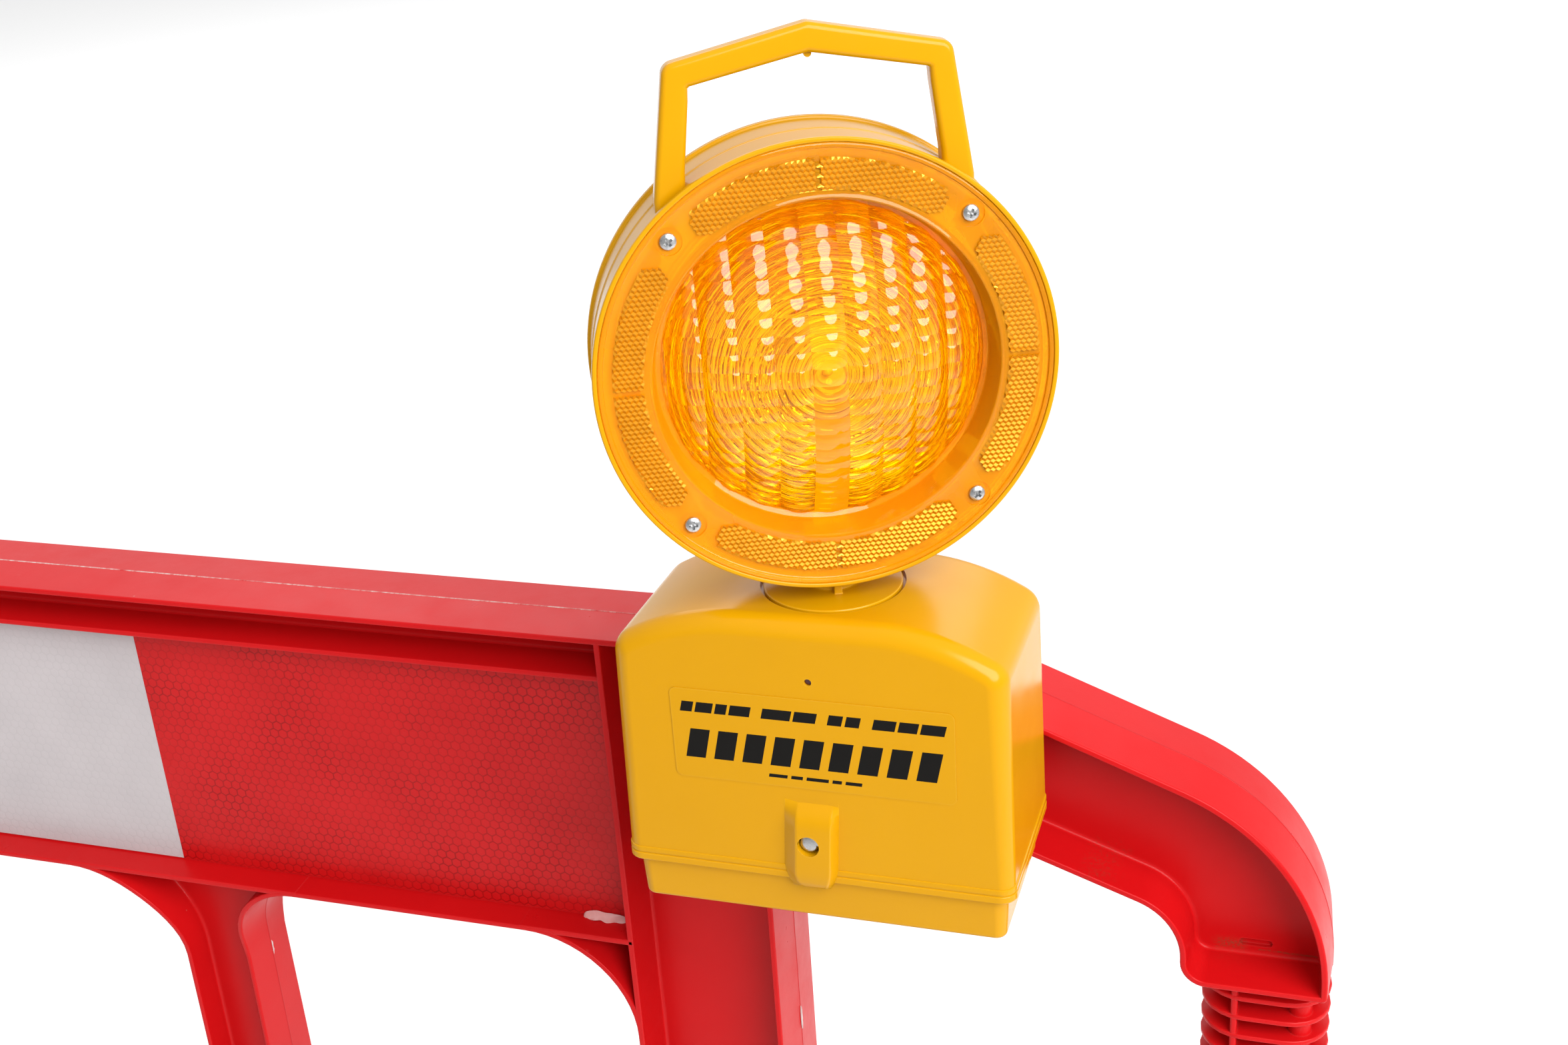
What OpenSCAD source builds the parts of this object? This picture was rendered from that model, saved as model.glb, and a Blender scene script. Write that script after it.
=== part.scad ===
// Linked pedestrian road-works barrier with a bolted-on battery warning lamp.
// Frame: X along the barrier, +Y to the rear, +Z up, origin on the ground under
// the middle of the overall length, in the barrier's mid-plane.

/* [Barrier] */
// Height of the top rail above the ground
rail_z = 1000; // [950:5:1100]
// Depth of the outer flanges, front to back
flange_d = 53.6; // [44:0.2:64]
// Thickness of the flanges at their free edge
flange_t = 3.4; // [2.6:0.1:4.5]
// Thickness of the central web
web_t = 4.4; // [3:0.1:6]
// Width of the end posts
post_w = 79.5; // [70:0.5:90]
// Width of the bars between the windows
bar_w = 43.2; // [36:0.1:60]
// Depth of the bars' flanges, front to back
bar_d = 36; // [30:0.5:50]
// Clear width of the two end windows
end_w = 237; // [210:0.5:250]
// Clear length of the board between the posts
board_l = 1568.8; // [1560:0.1:1575]
// Height of the lower edge of the visibility board
board_z0 = 825.3; // [800:0.1:850]
// Top of the tapping board
tap_z1 = 275; // [240:1:320]
// Bottom of the tapping board
tap_z0 = 100; // [90:1:130]

/* [Sheeting] */
// Length of one red or white sheeting segment
sheet_l = 271.2; // [240:0.1:300]
// Thickness of the retroreflective sheeting
sheet_t = 0.5; // [0.3:0.1:1]
// Thickness of the panel that carries the sheeting
panel_t = 2.5; // [2:0.1:4]

/* [Link] */
// Distance from link socket to link spigot
link_pitch = 2000; // [1990:1:2010]
// Width of the link spigot along the barrier
spigot_w = 58.7; // [50:0.1:60]
// Depth of the link spigot across the barrier
spigot_d = 40; // [34:0.5:42]
// Length of the link spigot below the arm
spigot_l = 110; // [80:1:140]

/* [Feet] */
// Length of a foot across the barrier
foot_l = 500; // [440:2:600]
// Width of a foot
foot_w = 120; // [100:2:140]
// Diameter of the foot pivot bolt
pivot_d = 16; // [12:0.5:18]

/* [Lamp] */
// Radius of the lens at its outer edge
lens_r = 88.2; // [85:0.1:88.2]
// Distance of the lens face from the middle of the head
lens_y = 21.4; // [20:0.1:24]
// Resting yaw of the lamp head from square-on
head_yaw = 25.1; // [-60:0.1:60]
// Diameter of the clamp bolt
clamp_d = 8; // [6:0.5:8]
// Radius of the swivel neck
neck_r = 10.5; // [9:0.1:10.5]
// Radial running clearance of the swivels
run_c = 0.07; // [0.05:0.01:0.1]

/* [Hidden] */
$fn = 64;

RED = [0.84, 0.08, 0.10];
YEL = [0.96, 0.71, 0.06];
AMB = [1.0, 0.58, 0.0, 0.75];
STL = [0.75, 0.76, 0.78];

half_l = 1032;                         // half of the overall length
spigot_x = half_l - spigot_w/2;        // axis of the spigot
socket_x = spigot_x - link_pitch;      // axis of the socket
hx = 823.5; hy = -68.4; hz = 1159.7;   // swivel axis and head centre
post_x1 = 770;                         // outer face of the right post
post_x0 = post_x1 - post_w;            // inner face of the right post
n_win = 6;
in_w = (board_l - 2*end_w - (n_win - 1)*bar_w)/(n_win - 2);   // clear width of the windows between the end ones
function win_x1(k) = k == 0 ? post_x0 : post_x0 - end_w - bar_w - (k - 1)*(in_w + bar_w);
function win_l(k) = k == 0 || k == n_win - 1 ? end_w : in_w;
left_x1 = post_x0 - board_l;                         // inner face of the left post
left_x0 = left_x1 - post_w;                          // outer face of the left post
fd = flange_d/2;
mid_z0 = rail_z - 24.4;  // underside of the second flange
mid_t = 3;
foot_xr = (post_x0 + post_x1)/2;
foot_xl = (left_x0 + left_x1)/2;
base_z = 60;             // underside of the posts
base_t = 6;
panel_y = 8.7;           // inner face of the board panel from the mid-plane
board_x0 = left_x1 + 0.3;
board_x1 = post_x0 - 0.3;

// lamp frame heights, from the head centre
seam_z = -219.6; tray_z = -240.9; top_z = -98.2;
bx = -3;                 // middle of the battery box
bh = 84.85; bd = 40.3;   // half width and half depth of the box at its seam
bolt_x = -3.6; bolt_z = -200.2;

// a 2-D shape in the X-Z plane made solid between two Y planes
module slab(y0, y1) rotate([90, 0, 0]) translate([0, 0, -y1]) linear_extrude(height = y1 - y0) children();
module box2(x0, x1, z0, z1) translate([x0, z0]) square([x1 - x0, z1 - z0]);
module box3(x0, x1, y0, y1, z0, z1) translate([x0, y0, z0]) cube([x1 - x0, y1 - y0, z1 - z0]);
// rectangle with four corner radii: top left, top right, bottom left, bottom right
module win2(x0, x1, z0, z1, a, b, c, d) union() {
    difference() {
        box2(x0, x1, z0, z1);
        box2(x0 - 1, x0 + a, z1 - a, z1 + 1);
        box2(x1 - b, x1 + 1, z1 - b, z1 + 1);
        box2(x0 - 1, x0 + c, z0 - 1, z0 + c);
        box2(x1 - d, x1 + 1, z0 - 1, z0 + d);
    }
    translate([x0 + a, z1 - a]) circle(a);
    translate([x1 - b, z1 - b]) circle(b);
    translate([x0 + c, z0 + c]) circle(c);
    translate([x1 - d, z0 + d]) circle(d);
}
module rrect(x0, x1, y0, y1, r) win2(x0, x1, y0, y1, r, r, r, r);
function arc(c, r, a0, a1, n = 12) = [for (i = [0:n]) let (a = a0 + (a1 - a0)*i/n) [c[0] + r*cos(a), c[1] + r*sin(a)]];
// axis of the lamp optics: local +z points to the front
module optic() rotate([90, 0, 0]) children();
module lamp() translate([hx, hy, hz]) children();
module head() translate([hx, hy, hz]) rotate([0, 0, head_yaw]) children();

// ---------------------------------------------------------------- barrier
module window(k, g) let (x1 = win_x1(k), x0 = x1 - win_l(k))
    win2(x0 - g, x1 + g, tap_z1 - g, board_z0 + g, 42 + g, 58 + g, 30 + g, 30 + g);
// the bars are shallower than the posts: removed from the front and back of each
module bar_relief() for (k = [1:n_win-1]) for (s = [-1, 1]) translate([win_x1(k) - 4, 0, 0])
    rotate([90, 0, 90]) linear_extrude(height = bar_w + 8)
        polygon([[s*(fd + 1), 812], [s*bar_d/2, 774], [s*bar_d/2, 328], [s*(fd + 1), 288]]);

module post_flanges(x0, x1) {
    slab(-fd, fd) box2(x0, x0 + flange_t, base_z, rail_z);
    slab(-fd, fd) box2(x1 - flange_t, x1, base_z, rail_z);
    slab(-fd, fd) box2(x0, x1, base_z, base_z + base_t);
}

module frame_gusset(x, z, s) slab(-fd + 4, fd - 4)
    polygon([[x, z], [x + s*26, z], [x, z - 26]]);

module barrier_frame() color(RED) difference() {
    union() {
        // central web
        slab(-web_t/2, web_t/2) difference() {
            union() {
                box2(left_x0, post_x1, tap_z0, rail_z);
                box2(left_x0, left_x1, base_z, rail_z);
                box2(post_x0, post_x1, base_z, rail_z);
            }
            for (k = [0:n_win-1]) window(k, 0);
        }
        // flanges round the windows
        slab(-fd, fd) for (k = [0:n_win-1]) difference() { window(k, flange_t); window(k, 0); }
        // top, second and lower flanges
        slab(-fd, fd) box2(left_x0, post_x1, rail_z - flange_t, rail_z);
        slab(-fd + 2.7, fd - 2.7) box2(left_x1 - 1, post_x0 + 1, mid_z0, mid_z0 + mid_t);
        slab(-fd, fd) box2(left_x1 - 1, post_x0 + 1, board_z0, board_z0 + flange_t);
        slab(-fd, fd) box2(left_x1 - 1, post_x0 + 1, tap_z1 - flange_t, tap_z1);
        slab(-fd, fd) box2(left_x0 + 1, post_x1 - 1, tap_z0, tap_z0 + flange_t);
        post_flanges(left_x0, left_x1);
        post_flanges(post_x0, post_x1);
        // ribs that back the board panels
        for (z = [842, 878, 924, 960]) slab(-panel_y, panel_y) box2(left_x1 - 1, post_x0 + 1, z, z + 3);
        // stiffening ribs of the tapping board
        for (k = [0:n_win-2]) slab(-fd + 6, fd - 6)
            box2(win_x1(k + 1) + bar_w/2 - 1.5, win_x1(k + 1) + bar_w/2 + 1.5, tap_z0 + 1, tap_z1 - 1);
        slab(-fd + 6, fd - 6) box2(left_x1 - 1, post_x0 + 1, (tap_z0 + tap_z1)/2 - 1.5, (tap_z0 + tap_z1)/2 + 1.5);
    }
    bar_relief();
    // access pockets over the pivot nuts, and the pivot holes
    for (x = [foot_xl, foot_xr]) {
        box3(x - 21, x + 21, -web_t, web_t, base_z + base_t, tap_z0 - 1);
        translate([x, 0, base_z - 1]) cylinder(d = pivot_d + 0.4, h = base_t + 2);
    }
}

// outline of the link arm, inset by t
function arm_pts(t) = concat(
    [[post_x1 - 10, rail_z - t]],
    arc([823.9, rail_z - 100], 100 - t, 90, 68.2),
    arc([926, 854.4], 104.2 - t, 68.2, 0, 20),
    [[1030.2 - t, 848.2 + t]],
    arc([977, 860.2], 12 - t, 270, 180, 8),
    arc([935, 862.2], 30 + t, 0, 69.7, 12),
    arc([823.9, 850], 80 + t, 69.7, 90, 8),
    arc([795, 905], 25 + t, 90, 180, 10),
    [[post_x1 - 10, 905]]);

module stadium2(w, d) rrect(-w/2, w/2, -d/2, d/2, d/2 - 0.01);

module link_arm() color(RED) difference() {
    union() {
        slab(-web_t/2, web_t/2) intersection() { polygon(arm_pts(0)); box2(post_x1, 1040, 800, 1010); }
        slab(-fd, fd) intersection() {
            difference() { polygon(arm_pts(0)); polygon(arm_pts(flange_t)); }
            box2(post_x1, 1040, 800, 1010);
        }
        // boss round the lamp bolt
        translate([hx + bolt_x, 0, hz + bolt_z]) rotate([90, 0, 0]) cylinder(r = 14, h = 8, center = true);
        // spigot: web, cross rib, round post and stadium-shaped ribs
        slab(-web_t/2, web_t/2) box2(spigot_x - spigot_w/2 + 6, spigot_x + spigot_w/2 - 6, 848.2 - spigot_l, 849);
        box3(988, 991, -spigot_d/2 + 2, spigot_d/2 - 2, 848.2 - spigot_l, 849);
        translate([1018.8, 0, 848.2 - spigot_l]) cylinder(r = 5.5, h = spigot_l + 1);
        for (i = [0:8]) translate([spigot_x, 0, 837.8 - 10.8*i])
            linear_extrude(height = 2.6) stadium2(spigot_w, spigot_d);
        translate([spigot_x, 0, 848.2 - spigot_l]) linear_extrude(height = 4) stadium2(spigot_w - 6, spigot_d - 6);
    }
    translate([hx + bolt_x, 10, hz + bolt_z]) rotate([90, 0, 0]) cylinder(d = clamp_d + 0.5, h = 20);
    // small oblong slot in the web of the arm's foot
    slab(-5, 5) rrect(989.5, 1005, 854, 858, 1.9);
}

module link_socket() color(RED) union() {
    translate([socket_x, 0, 816]) linear_extrude(height = 30) difference() {
        stadium2(2*(half_l + socket_x), spigot_d + 12);
        stadium2(spigot_w + 2.6, spigot_d + 4);
    }
    difference() {
        box3(-half_l + 58, left_x0, -20, 20, 816, 846);
        translate([socket_x, 0, 810]) linear_extrude(height = 40) stadium2(spigot_w + 4, spigot_d + 6);
    }
    slab(-web_t/2, web_t/2) polygon([[left_x0, 817], [left_x0, 776], [-half_l + 62, 817]]);
}

module board_panel(s) color(RED) scale([1, s, 1])
    slab(panel_y, panel_y + panel_t) rrect(board_x0, board_x1, board_z0 + flange_t + 0.3, mid_z0 - 0.3, 2);
module front_board_panel() board_panel(-1);
module rear_board_panel() board_panel(1);

function seg_x1(i) = board_x1 - 0.6 - i*sheet_l;
function seg_x0(i) = max(board_x0 + 0.6, seg_x1(i) - sheet_l);
module sheets(s, first, c) color(c) for (i = [first:2:5])
    slab(s > 0 ? panel_y + panel_t : -panel_y - panel_t - sheet_t, s > 0 ? panel_y + panel_t + sheet_t : -panel_y - panel_t)
        box2(seg_x0(i) + 0.02, seg_x1(i) - 0.02, board_z0 + flange_t + 1.3, mid_z0 - 1.3);
module front_sheets_red() sheets(-1, 0, [0.8, 0.07, 0.09]);
module front_sheets_white() sheets(-1, 1, [0.85, 0.84, 0.85]);
module rear_sheets_red() sheets(1, 0, [0.8, 0.07, 0.09]);
module rear_sheets_white() sheets(1, 1, [0.85, 0.84, 0.85]);

// ---------------------------------------------------------------- feet
pad_at = [[-40, -205], [40, -205], [-40, 205], [40, 205]];
module foot() color([0.13, 0.13, 0.14]) difference() {
    union() {
        difference() {
            intersection() {
                rotate([90, 0, 90]) translate([0, 0, -foot_w/2]) linear_extrude(height = foot_w)
                    polygon([[-foot_l/2, 4], [foot_l/2, 4], [foot_l/2, 15], [72, 56], [-72, 56], [-foot_l/2, 15]]);
                linear_extrude(height = 60) rrect(-foot_w/2, foot_w/2, -foot_l/2, foot_l/2, 34);
            }
            // moulded hollow underneath, left with cross ribs
            intersection() {
                rotate([90, 0, 90]) translate([0, 0, -foot_w/2 + 4]) linear_extrude(height = foot_w - 8)
                    polygon([[-foot_l/2 + 6, 3], [foot_l/2 - 6, 3], [foot_l/2 - 6, 10], [70, 51.5], [-70, 51.5], [-foot_l/2 + 6, 10]]);
                translate([0, 0, 3]) linear_extrude(height = 60) rrect(-foot_w/2 + 4, foot_w/2 - 4, -foot_l/2 + 6, foot_l/2 - 6, 30);
            }
        }
        intersection() {
            union() {
                for (y = [-168, -124, -80, -36, 36, 80, 124, 168]) box3(-foot_w/2 + 1, foot_w/2 - 1, y - 1.5, y + 1.5, 5, 60);
                box3(-1.5, 1.5, -foot_l/2 + 2, -20, 5, 60);
                box3(-1.5, 1.5, 20, foot_l/2 - 2, 5, 60);
                for (p = pad_at) translate([p[0], p[1], 4]) cylinder(r = 15, h = 60);
                for (s = [-1, 1]) translate([0, s*228, 4]) cylinder(r = 12, h = 60);
            }
            rotate([90, 0, 90]) translate([0, 0, -foot_w/2 + 1]) linear_extrude(height = foot_w - 2)
                polygon([[-foot_l/2 + 1, 4], [foot_l/2 - 1, 4], [foot_l/2 - 1, 14], [71, 55], [-71, 55], [-foot_l/2 + 1, 14]]);
        }
        translate([0, 0, 4]) cylinder(r = 26, h = 52);
    }
    translate([0, 0, 3]) cylinder(r = 18.5, h = 19);
    translate([0, 0, 3]) cylinder(r = pivot_d/2 + run_c, h = 60);
    for (p = pad_at) translate([p[0], p[1], 3]) cylinder(r = 4, h = 7.5);
    for (s = [-1, 1]) translate([0, s*228, 3]) cylinder(r = 7, h = 40);
}
module foot_pads(x) color([0.1, 0.1, 0.1]) translate([x, 0, 0]) for (p = pad_at) translate([p[0], p[1], 0]) {
    cylinder(r = 13, h = 4);
    cylinder(r = 4, h = 10);
}
module left_foot() translate([foot_xl, 0, 0]) foot();
module right_foot() translate([foot_xr, 0, 0]) foot();
module left_foot_pads() foot_pads(foot_xl);
module right_foot_pads() foot_pads(foot_xr);

module at_feet() for (x = [foot_xl, foot_xr]) translate([x, 0, 0]) children();
module ring(r0, r1, z0, z1) translate([0, 0, z0]) difference() {
    cylinder(r = r1, h = z1 - z0);
    translate([0, 0, -1]) cylinder(r = r0, h = z1 - z0 + 2);
}
module foot_pivot_bolts() color(STL) at_feet() union() {
    translate([0, 0, 9.4]) cylinder(d = 27.7, h = 10, $fn = 6);
    translate([0, 0, 19]) cylinder(d = pivot_d, h = 69);
}
module foot_head_washers() color(STL) at_feet() ring(pivot_d/2 + 0.2, 16, 19.4, 21.9);
module foot_thrust_washers() color([0.9, 0.9, 0.88]) at_feet() ring(pivot_d/2 + 0.2, 24, 56.05, base_z);
module foot_nut_washers() color(STL) at_feet() ring(pivot_d/2 + 0.2, 15, base_z + base_t, base_z + base_t + 3);
module foot_pivot_nuts() color(STL) at_feet() translate([0, 0, base_z + base_t + 3]) difference() {
    cylinder(d = 27.7, h = 13, $fn = 6);
    translate([0, 0, -1]) cylinder(d = pivot_d, h = 15);
}

// ---------------------------------------------------------------- battery box
// contact board posts: x, y, height
post_at = [[-60, -20, 15], [60, 20, 15], [-24, 20, 23.4], [24, -20, 23.4]];
module box_hull(g) hull() {
    translate([0, 0, seam_z - (g > 0 ? 0.2 : 0)]) linear_extrude(height = 0.5)
        rrect(bx - bh + g, bx + bh - g, -bd + g, bd - g, 6.5 - g);
    for (x = [-1, 1]) for (y = [-1, 1]) {
        translate([bx + x*69.5, y*(bd - 9), -118.5]) sphere(r = 9 - g, $fn = 24);
        translate([bx + x*36, y*(bd - 9), top_z - 9]) sphere(r = 9 - g, $fn = 24);
    }
}
module front_boss2() polygon([[-12, -0.8], [12, -0.8], [12, 1.5], [8.5, 4.6], [-8.5, 4.6], [-12, 1.5]]);
module battery_cover() color(YEL) lamp() difference() {
    union() {
        difference() {
            box_hull(0);
            box_hull(2.6);
        }
        // bearing boss under the swivel, and posts for the contact board
        translate([0, 0, -106.4]) cylinder(r = 22, h = 6.4);
        for (p = post_at) translate([bx + p[0], p[1], -123.4]) cylinder(r = 3.6, h = p[2]);
        // clamp boss on the front
        translate([bolt_x, -bd, seam_z]) linear_extrude(height = 38) mirror([0, 1]) front_boss2();
    }
    // swivel recess and bore
    translate([0, 0, top_z - 1.7]) cylinder(r = 30.4, h = 10);
    translate([0, 0, -130]) cylinder(r = neck_r + run_c, h = 40);
    // clamp bolt passage, screw pilots and sensor pinhole
    translate([bolt_x, 50, bolt_z]) rotate([90, 0, 0]) cylinder(d = clamp_d + 0.4, h = 100);
    translate([bolt_x, -bd, bolt_z]) rotate([90, 0, 0]) cylinder(r = 4.7, h = 10);
    for (p = post_at) translate([bx + p[0], p[1], -124]) cylinder(r = 1.25, h = 9);
    translate([-0.7, -30, -124.6]) rotate([90, 0, 0]) cylinder(r = 1.55, h = 20);
}
module battery_tray() color(YEL) lamp() difference() {
    union() {
        translate([0, 0, tray_z]) linear_extrude(height = seam_z - 0.25 - tray_z) rrect(bx - 81.6, bx + 81.6, -37.9, 37.9, 6);
        translate([0, 0, seam_z - 0.3]) linear_extrude(height = 11.6) rrect(bx - 80.4, bx + 80.4, -36.6, 36.6, 5);
    }
    translate([0, 0, tray_z + 2.9]) linear_extrude(height = 60) rrect(bx - 78.4, bx + 78.4, -34.6, 34.6, 4);
}
module tray_gasket() color([0.15, 0.15, 0.15]) lamp() translate([0, 0, -213]) linear_extrude(height = 3) difference() {
    rrect(bx - 81.2, bx + 81.2, -37.4, 37.4, 5.6);
    rrect(bx - 80.42, bx + 80.42, -36.62, 36.62, 5);
}
module lantern_batteries() color([0.12, 0.13, 0.16]) lamp() for (s = [-1, 1])
    translate([bx + s*43.2, 0, tray_z + 2.9]) union() {
        linear_extrude(height = 98) rrect(-33.2, 33.2, -33.2, 33.2, 8);
        translate([0, 0, 97]) linear_extrude(height = 5) rrect(-30, 30, -30, 30, 10);
    }
bat_top = tray_z + 2.9 + 102;
// conical contact spring: a 6-sided wire swept up a helix
spr_n = 40;
function spr_c(i) = let (u = i/spr_n, a = 360*4*u, r = 8.5 - 4.5*u) [r*cos(a), r*sin(a), 0.62 + u*9.06];
function spr_ring(i) = let (c = spr_c(i), a = 360*4*i/spr_n) [for (j = [0:5]) let (b = 60*j)
    [c[0] + 0.6*cos(b)*cos(a), c[1] + 0.6*cos(b)*sin(a), c[2] + 0.6*sin(b)]];
module spring() polyhedron(
    points = [for (i = [0:spr_n]) for (p = spr_ring(i)) p],
    faces = concat(
        [[for (j = [0:5]) j]],
        [for (i = [0:spr_n-1]) for (j = [0:5]) let (k = (j + 1) % 6) [i*6 + j, (i + 1)*6 + j, (i + 1)*6 + k]],
        [for (i = [0:spr_n-1]) for (j = [0:5]) let (k = (j + 1) % 6) [i*6 + j, (i + 1)*6 + k, i*6 + k]],
        [[for (j = [5:-1:0]) spr_n*6 + j]]));
spring_at = [[-43.2, 0], [-61, 18], [43.2, 0], [61, -18]];
module battery_springs() color([0.8, 0.75, 0.5]) lamp() for (p = spring_at)
    translate([bx + p[0], p[1], bat_top + 0.02]) spring();
module contact_board() color([0.1, 0.4, 0.2]) lamp() difference() {
    translate([0, 0, -125]) linear_extrude(height = 1.6) rrect(bx - 72, bx + 72, -26, 26, 3);
    for (p = post_at) translate([bx + p[0], p[1], -126]) cylinder(r = 1.6, h = 4);
    translate([0, 0, -126]) cylinder(r = 1, h = 4);
}
module contact_pads() color([0.85, 0.7, 0.3]) lamp() for (p = spring_at)
    translate([bx + p[0], p[1], -125.6]) cylinder(r = 6, h = 0.6);
module contact_board_screws() color(STL) lamp() for (p = post_at)
    translate([bx + p[0], p[1], 0]) union() {
        translate([0, 0, -127]) cylinder(r = 2.8, h = 2);
        translate([0, 0, -125.5]) cylinder(r = 1.25, h = 9);
    }
sw = [28, 10];
module switch_housing() color([0.1, 0.1, 0.1]) lamp() difference() {
    box3(sw[0] - 8, sw[0] + 8, sw[1] - 4.5, sw[1] + 4.5, -123.4, -117.4);
    box3(sw[0] - 5, sw[0] + 5, sw[1] - 2, sw[1] + 2, -121, -118.6);
    box3(sw[0] - 3.6, sw[0] + 3.6, sw[1] - 1.55, sw[1] + 1.55, -119, -117);
}
module switch_slider() color([0.9, 0.9, 0.9]) lamp() union() {
    box3(sw[0] - 4.9, sw[0] + 0.9, sw[1] - 1.95, sw[1] + 1.95, -120.95, -118.65);
    box3(sw[0] - 3.5, sw[0] - 0.5, sw[1] - 1.5, sw[1] + 1.5, -118.8, -114.5);
}
module light_sensor() color([0.35, 0.05, 0.05]) lamp() translate([-0.7, 0, -124.6]) union() {
    translate([0, -26.05, 0]) rotate([90, 0, 0]) cylinder(r = 2.5, h = 9.2);
    translate([0, -30, 0]) rotate([90, 0, 0]) cylinder(r = 1.5, h = 9.3);
}
module lamp_lead() color([0.1, 0.1, 0.1]) lamp() translate([0, 0, -123.4]) cylinder(r = 2, h = 36.6);
module cover_label() color([0.97, 0.74, 0.12]) lamp()
    slab(-bd - 0.34, -bd - 0.04) rrect(-61, 59.4, -174.6, -132.4, 3);

module clamp_bolt() color(STL) lamp() translate([bolt_x, 0, bolt_z]) union() {
    translate([0, 79.3, 0]) rotate([90, 0, 0]) cylinder(d = 15, h = 5.3, $fn = 6);
    translate([0, 75, 0]) rotate([90, 0, 0]) cylinder(d = clamp_d, h = 118.5);
}
module clamp_washer() color(STL) lamp() translate([bolt_x, 74, bolt_z]) rotate([90, 0, 0]) ring(clamp_d/2 + 0.2, 10, 0, 1.6);
module clamp_nut() color(STL) lamp() translate([bolt_x, -bd + 2.7, bolt_z]) rotate([-90, 0, 0]) difference() {
    cylinder(d = 15, h = 6.5, $fn = 6);
    translate([0, 0, -1]) cylinder(d = clamp_d, h = 9);
}
module clamp_sleeve() color([0.7, 0.7, 0.72]) lamp() translate([bolt_x, bd - 2.7, bolt_z]) rotate([90, 0, 0])
    ring(clamp_d/2 + 0.3, 7, 0, 2*bd - 5.4 - 6.6);
module rear_spacer() color(YEL) lamp() translate([bolt_x, -hy - 4.05, bolt_z]) rotate([90, 0, 0]) difference() {
    union() {
        cylinder(r = 13, h = -hy - 4.05 - bd - 0.05);
        translate([0, 0, -hy - 4.05 - bd - 4.05]) cylinder(r = 20, h = 4);
    }
    translate([0, 0, -1]) cylinder(d = clamp_d + 0.5, h = 40);
}

// ---------------------------------------------------------------- lamp head
case_r = 89.2; case_ri = 86.7;
screw_r = 80.4;
module screws_at() for (a = [45:90:315]) rotate([0, 0, a]) translate([screw_r, 0, 0]) children();

module casing() difference() {
    optic() union() {
        rotate_extrude() polygon([[case_ri, 0], [case_r, 0], [case_r, 19], [lens_r + 2, 20], [lens_r + 2, 22.2],
            [lens_r + 0.1, 22.2], [lens_r + 0.1, lens_y - 2.3], [case_ri, lens_y - 2.3], [case_ri, lens_y - 3.2],
            [83.6, lens_y - 3.2], [83.6, lens_y - 5.2], [case_ri, lens_y - 7.5]]);
        screws_at() difference() {
            union() {
                cylinder(r = 4, h = lens_y - 2.2);
                translate([0, -1.5, 0]) cube([7.3, 3, lens_y - 4.3]);
            }
            translate([0, 0, lens_y - 12]) cylinder(r = 1.5, h = 20);
        }
    }
    // neck passage and neck screw holes at the bottom
    translate([0, 0, -95]) cylinder(r = 5, h = 20);
    for (s = [-1, 1]) translate([0, s*8.2, -95]) cylinder(r = 1.65, h = 20);
}
module handle() slab(-15, -5) difference() {
    polygon([[-60.3, 63], [-60.3, 70], [-53.4, 119], [0, 130.6], [53.4, 119], [60.3, 70], [60.3, 63]]);
    polygon([[-48.2, 60], [-48.2, 77], [-44, 110.4], [0, 119.7], [44, 110.4], [48.2, 77], [48.2, 60]]);
}
module head_front_casing() color(YEL) head() union() {
    casing();
    difference() { handle(); translate([0, 20, 0]) rotate([90, 0, 0]) cylinder(r = case_r - 1, h = 60); }
}
module head_rear_casing() color(YEL) head() rotate([0, 0, 180]) casing();

// amber lens: lip, flat reflector ring, recessed cone and pillowed dome
dome_r = 101; dome_c = 28.2 - dome_r;
module lens_body() difference() {
    rotate_extrude() union() {
        intersection() {
            translate([0, dome_c]) difference() { circle(dome_r, $fn = 128); circle(dome_r - 2.2, $fn = 128); }
            box2(0, 62.4, 7.2, 40);
        }
        polygon([[59.5, 8.4], [60.6, 6.8], [63.6, 8.6], [69.5, lens_y - 2.2], [lens_r, lens_y - 2.2], [lens_r, lens_y + 1],
            [86.3, lens_y + 1], [86.3, lens_y], [67.6, lens_y], [61.6, 10]]);
    }
    screws_at() cylinder(r = 1.7, h = 60);
    // counterbores round the screws
    screws_at() translate([0, 0, lens_y - 0.8]) cylinder(r = 5, h = 3);
}
module front_lens() color(AMB) head() optic() lens_body();
module rear_lens() color(AMB) head() rotate([0, 0, 180]) optic() lens_body();
module lens_gasket() color([0.1, 0.1, 0.1]) optic() ring(84.6, 86.5, lens_y - 3.2, lens_y - 2.2);
module front_lens_gasket() head() lens_gasket();
module rear_lens_gasket() head() rotate([0, 0, 180]) lens_gasket();
module lens_screws() color(STL) optic() screws_at() union() {
    translate([0, 0, lens_y - 0.8]) cylinder(r = 3.3, h = 1.9);
    translate([0, 0, lens_y - 11]) cylinder(r = 1.5, h = 11);
}
module front_lens_screws() head() lens_screws();
module rear_lens_screws() head() rotate([0, 0, 180]) lens_screws();

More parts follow.
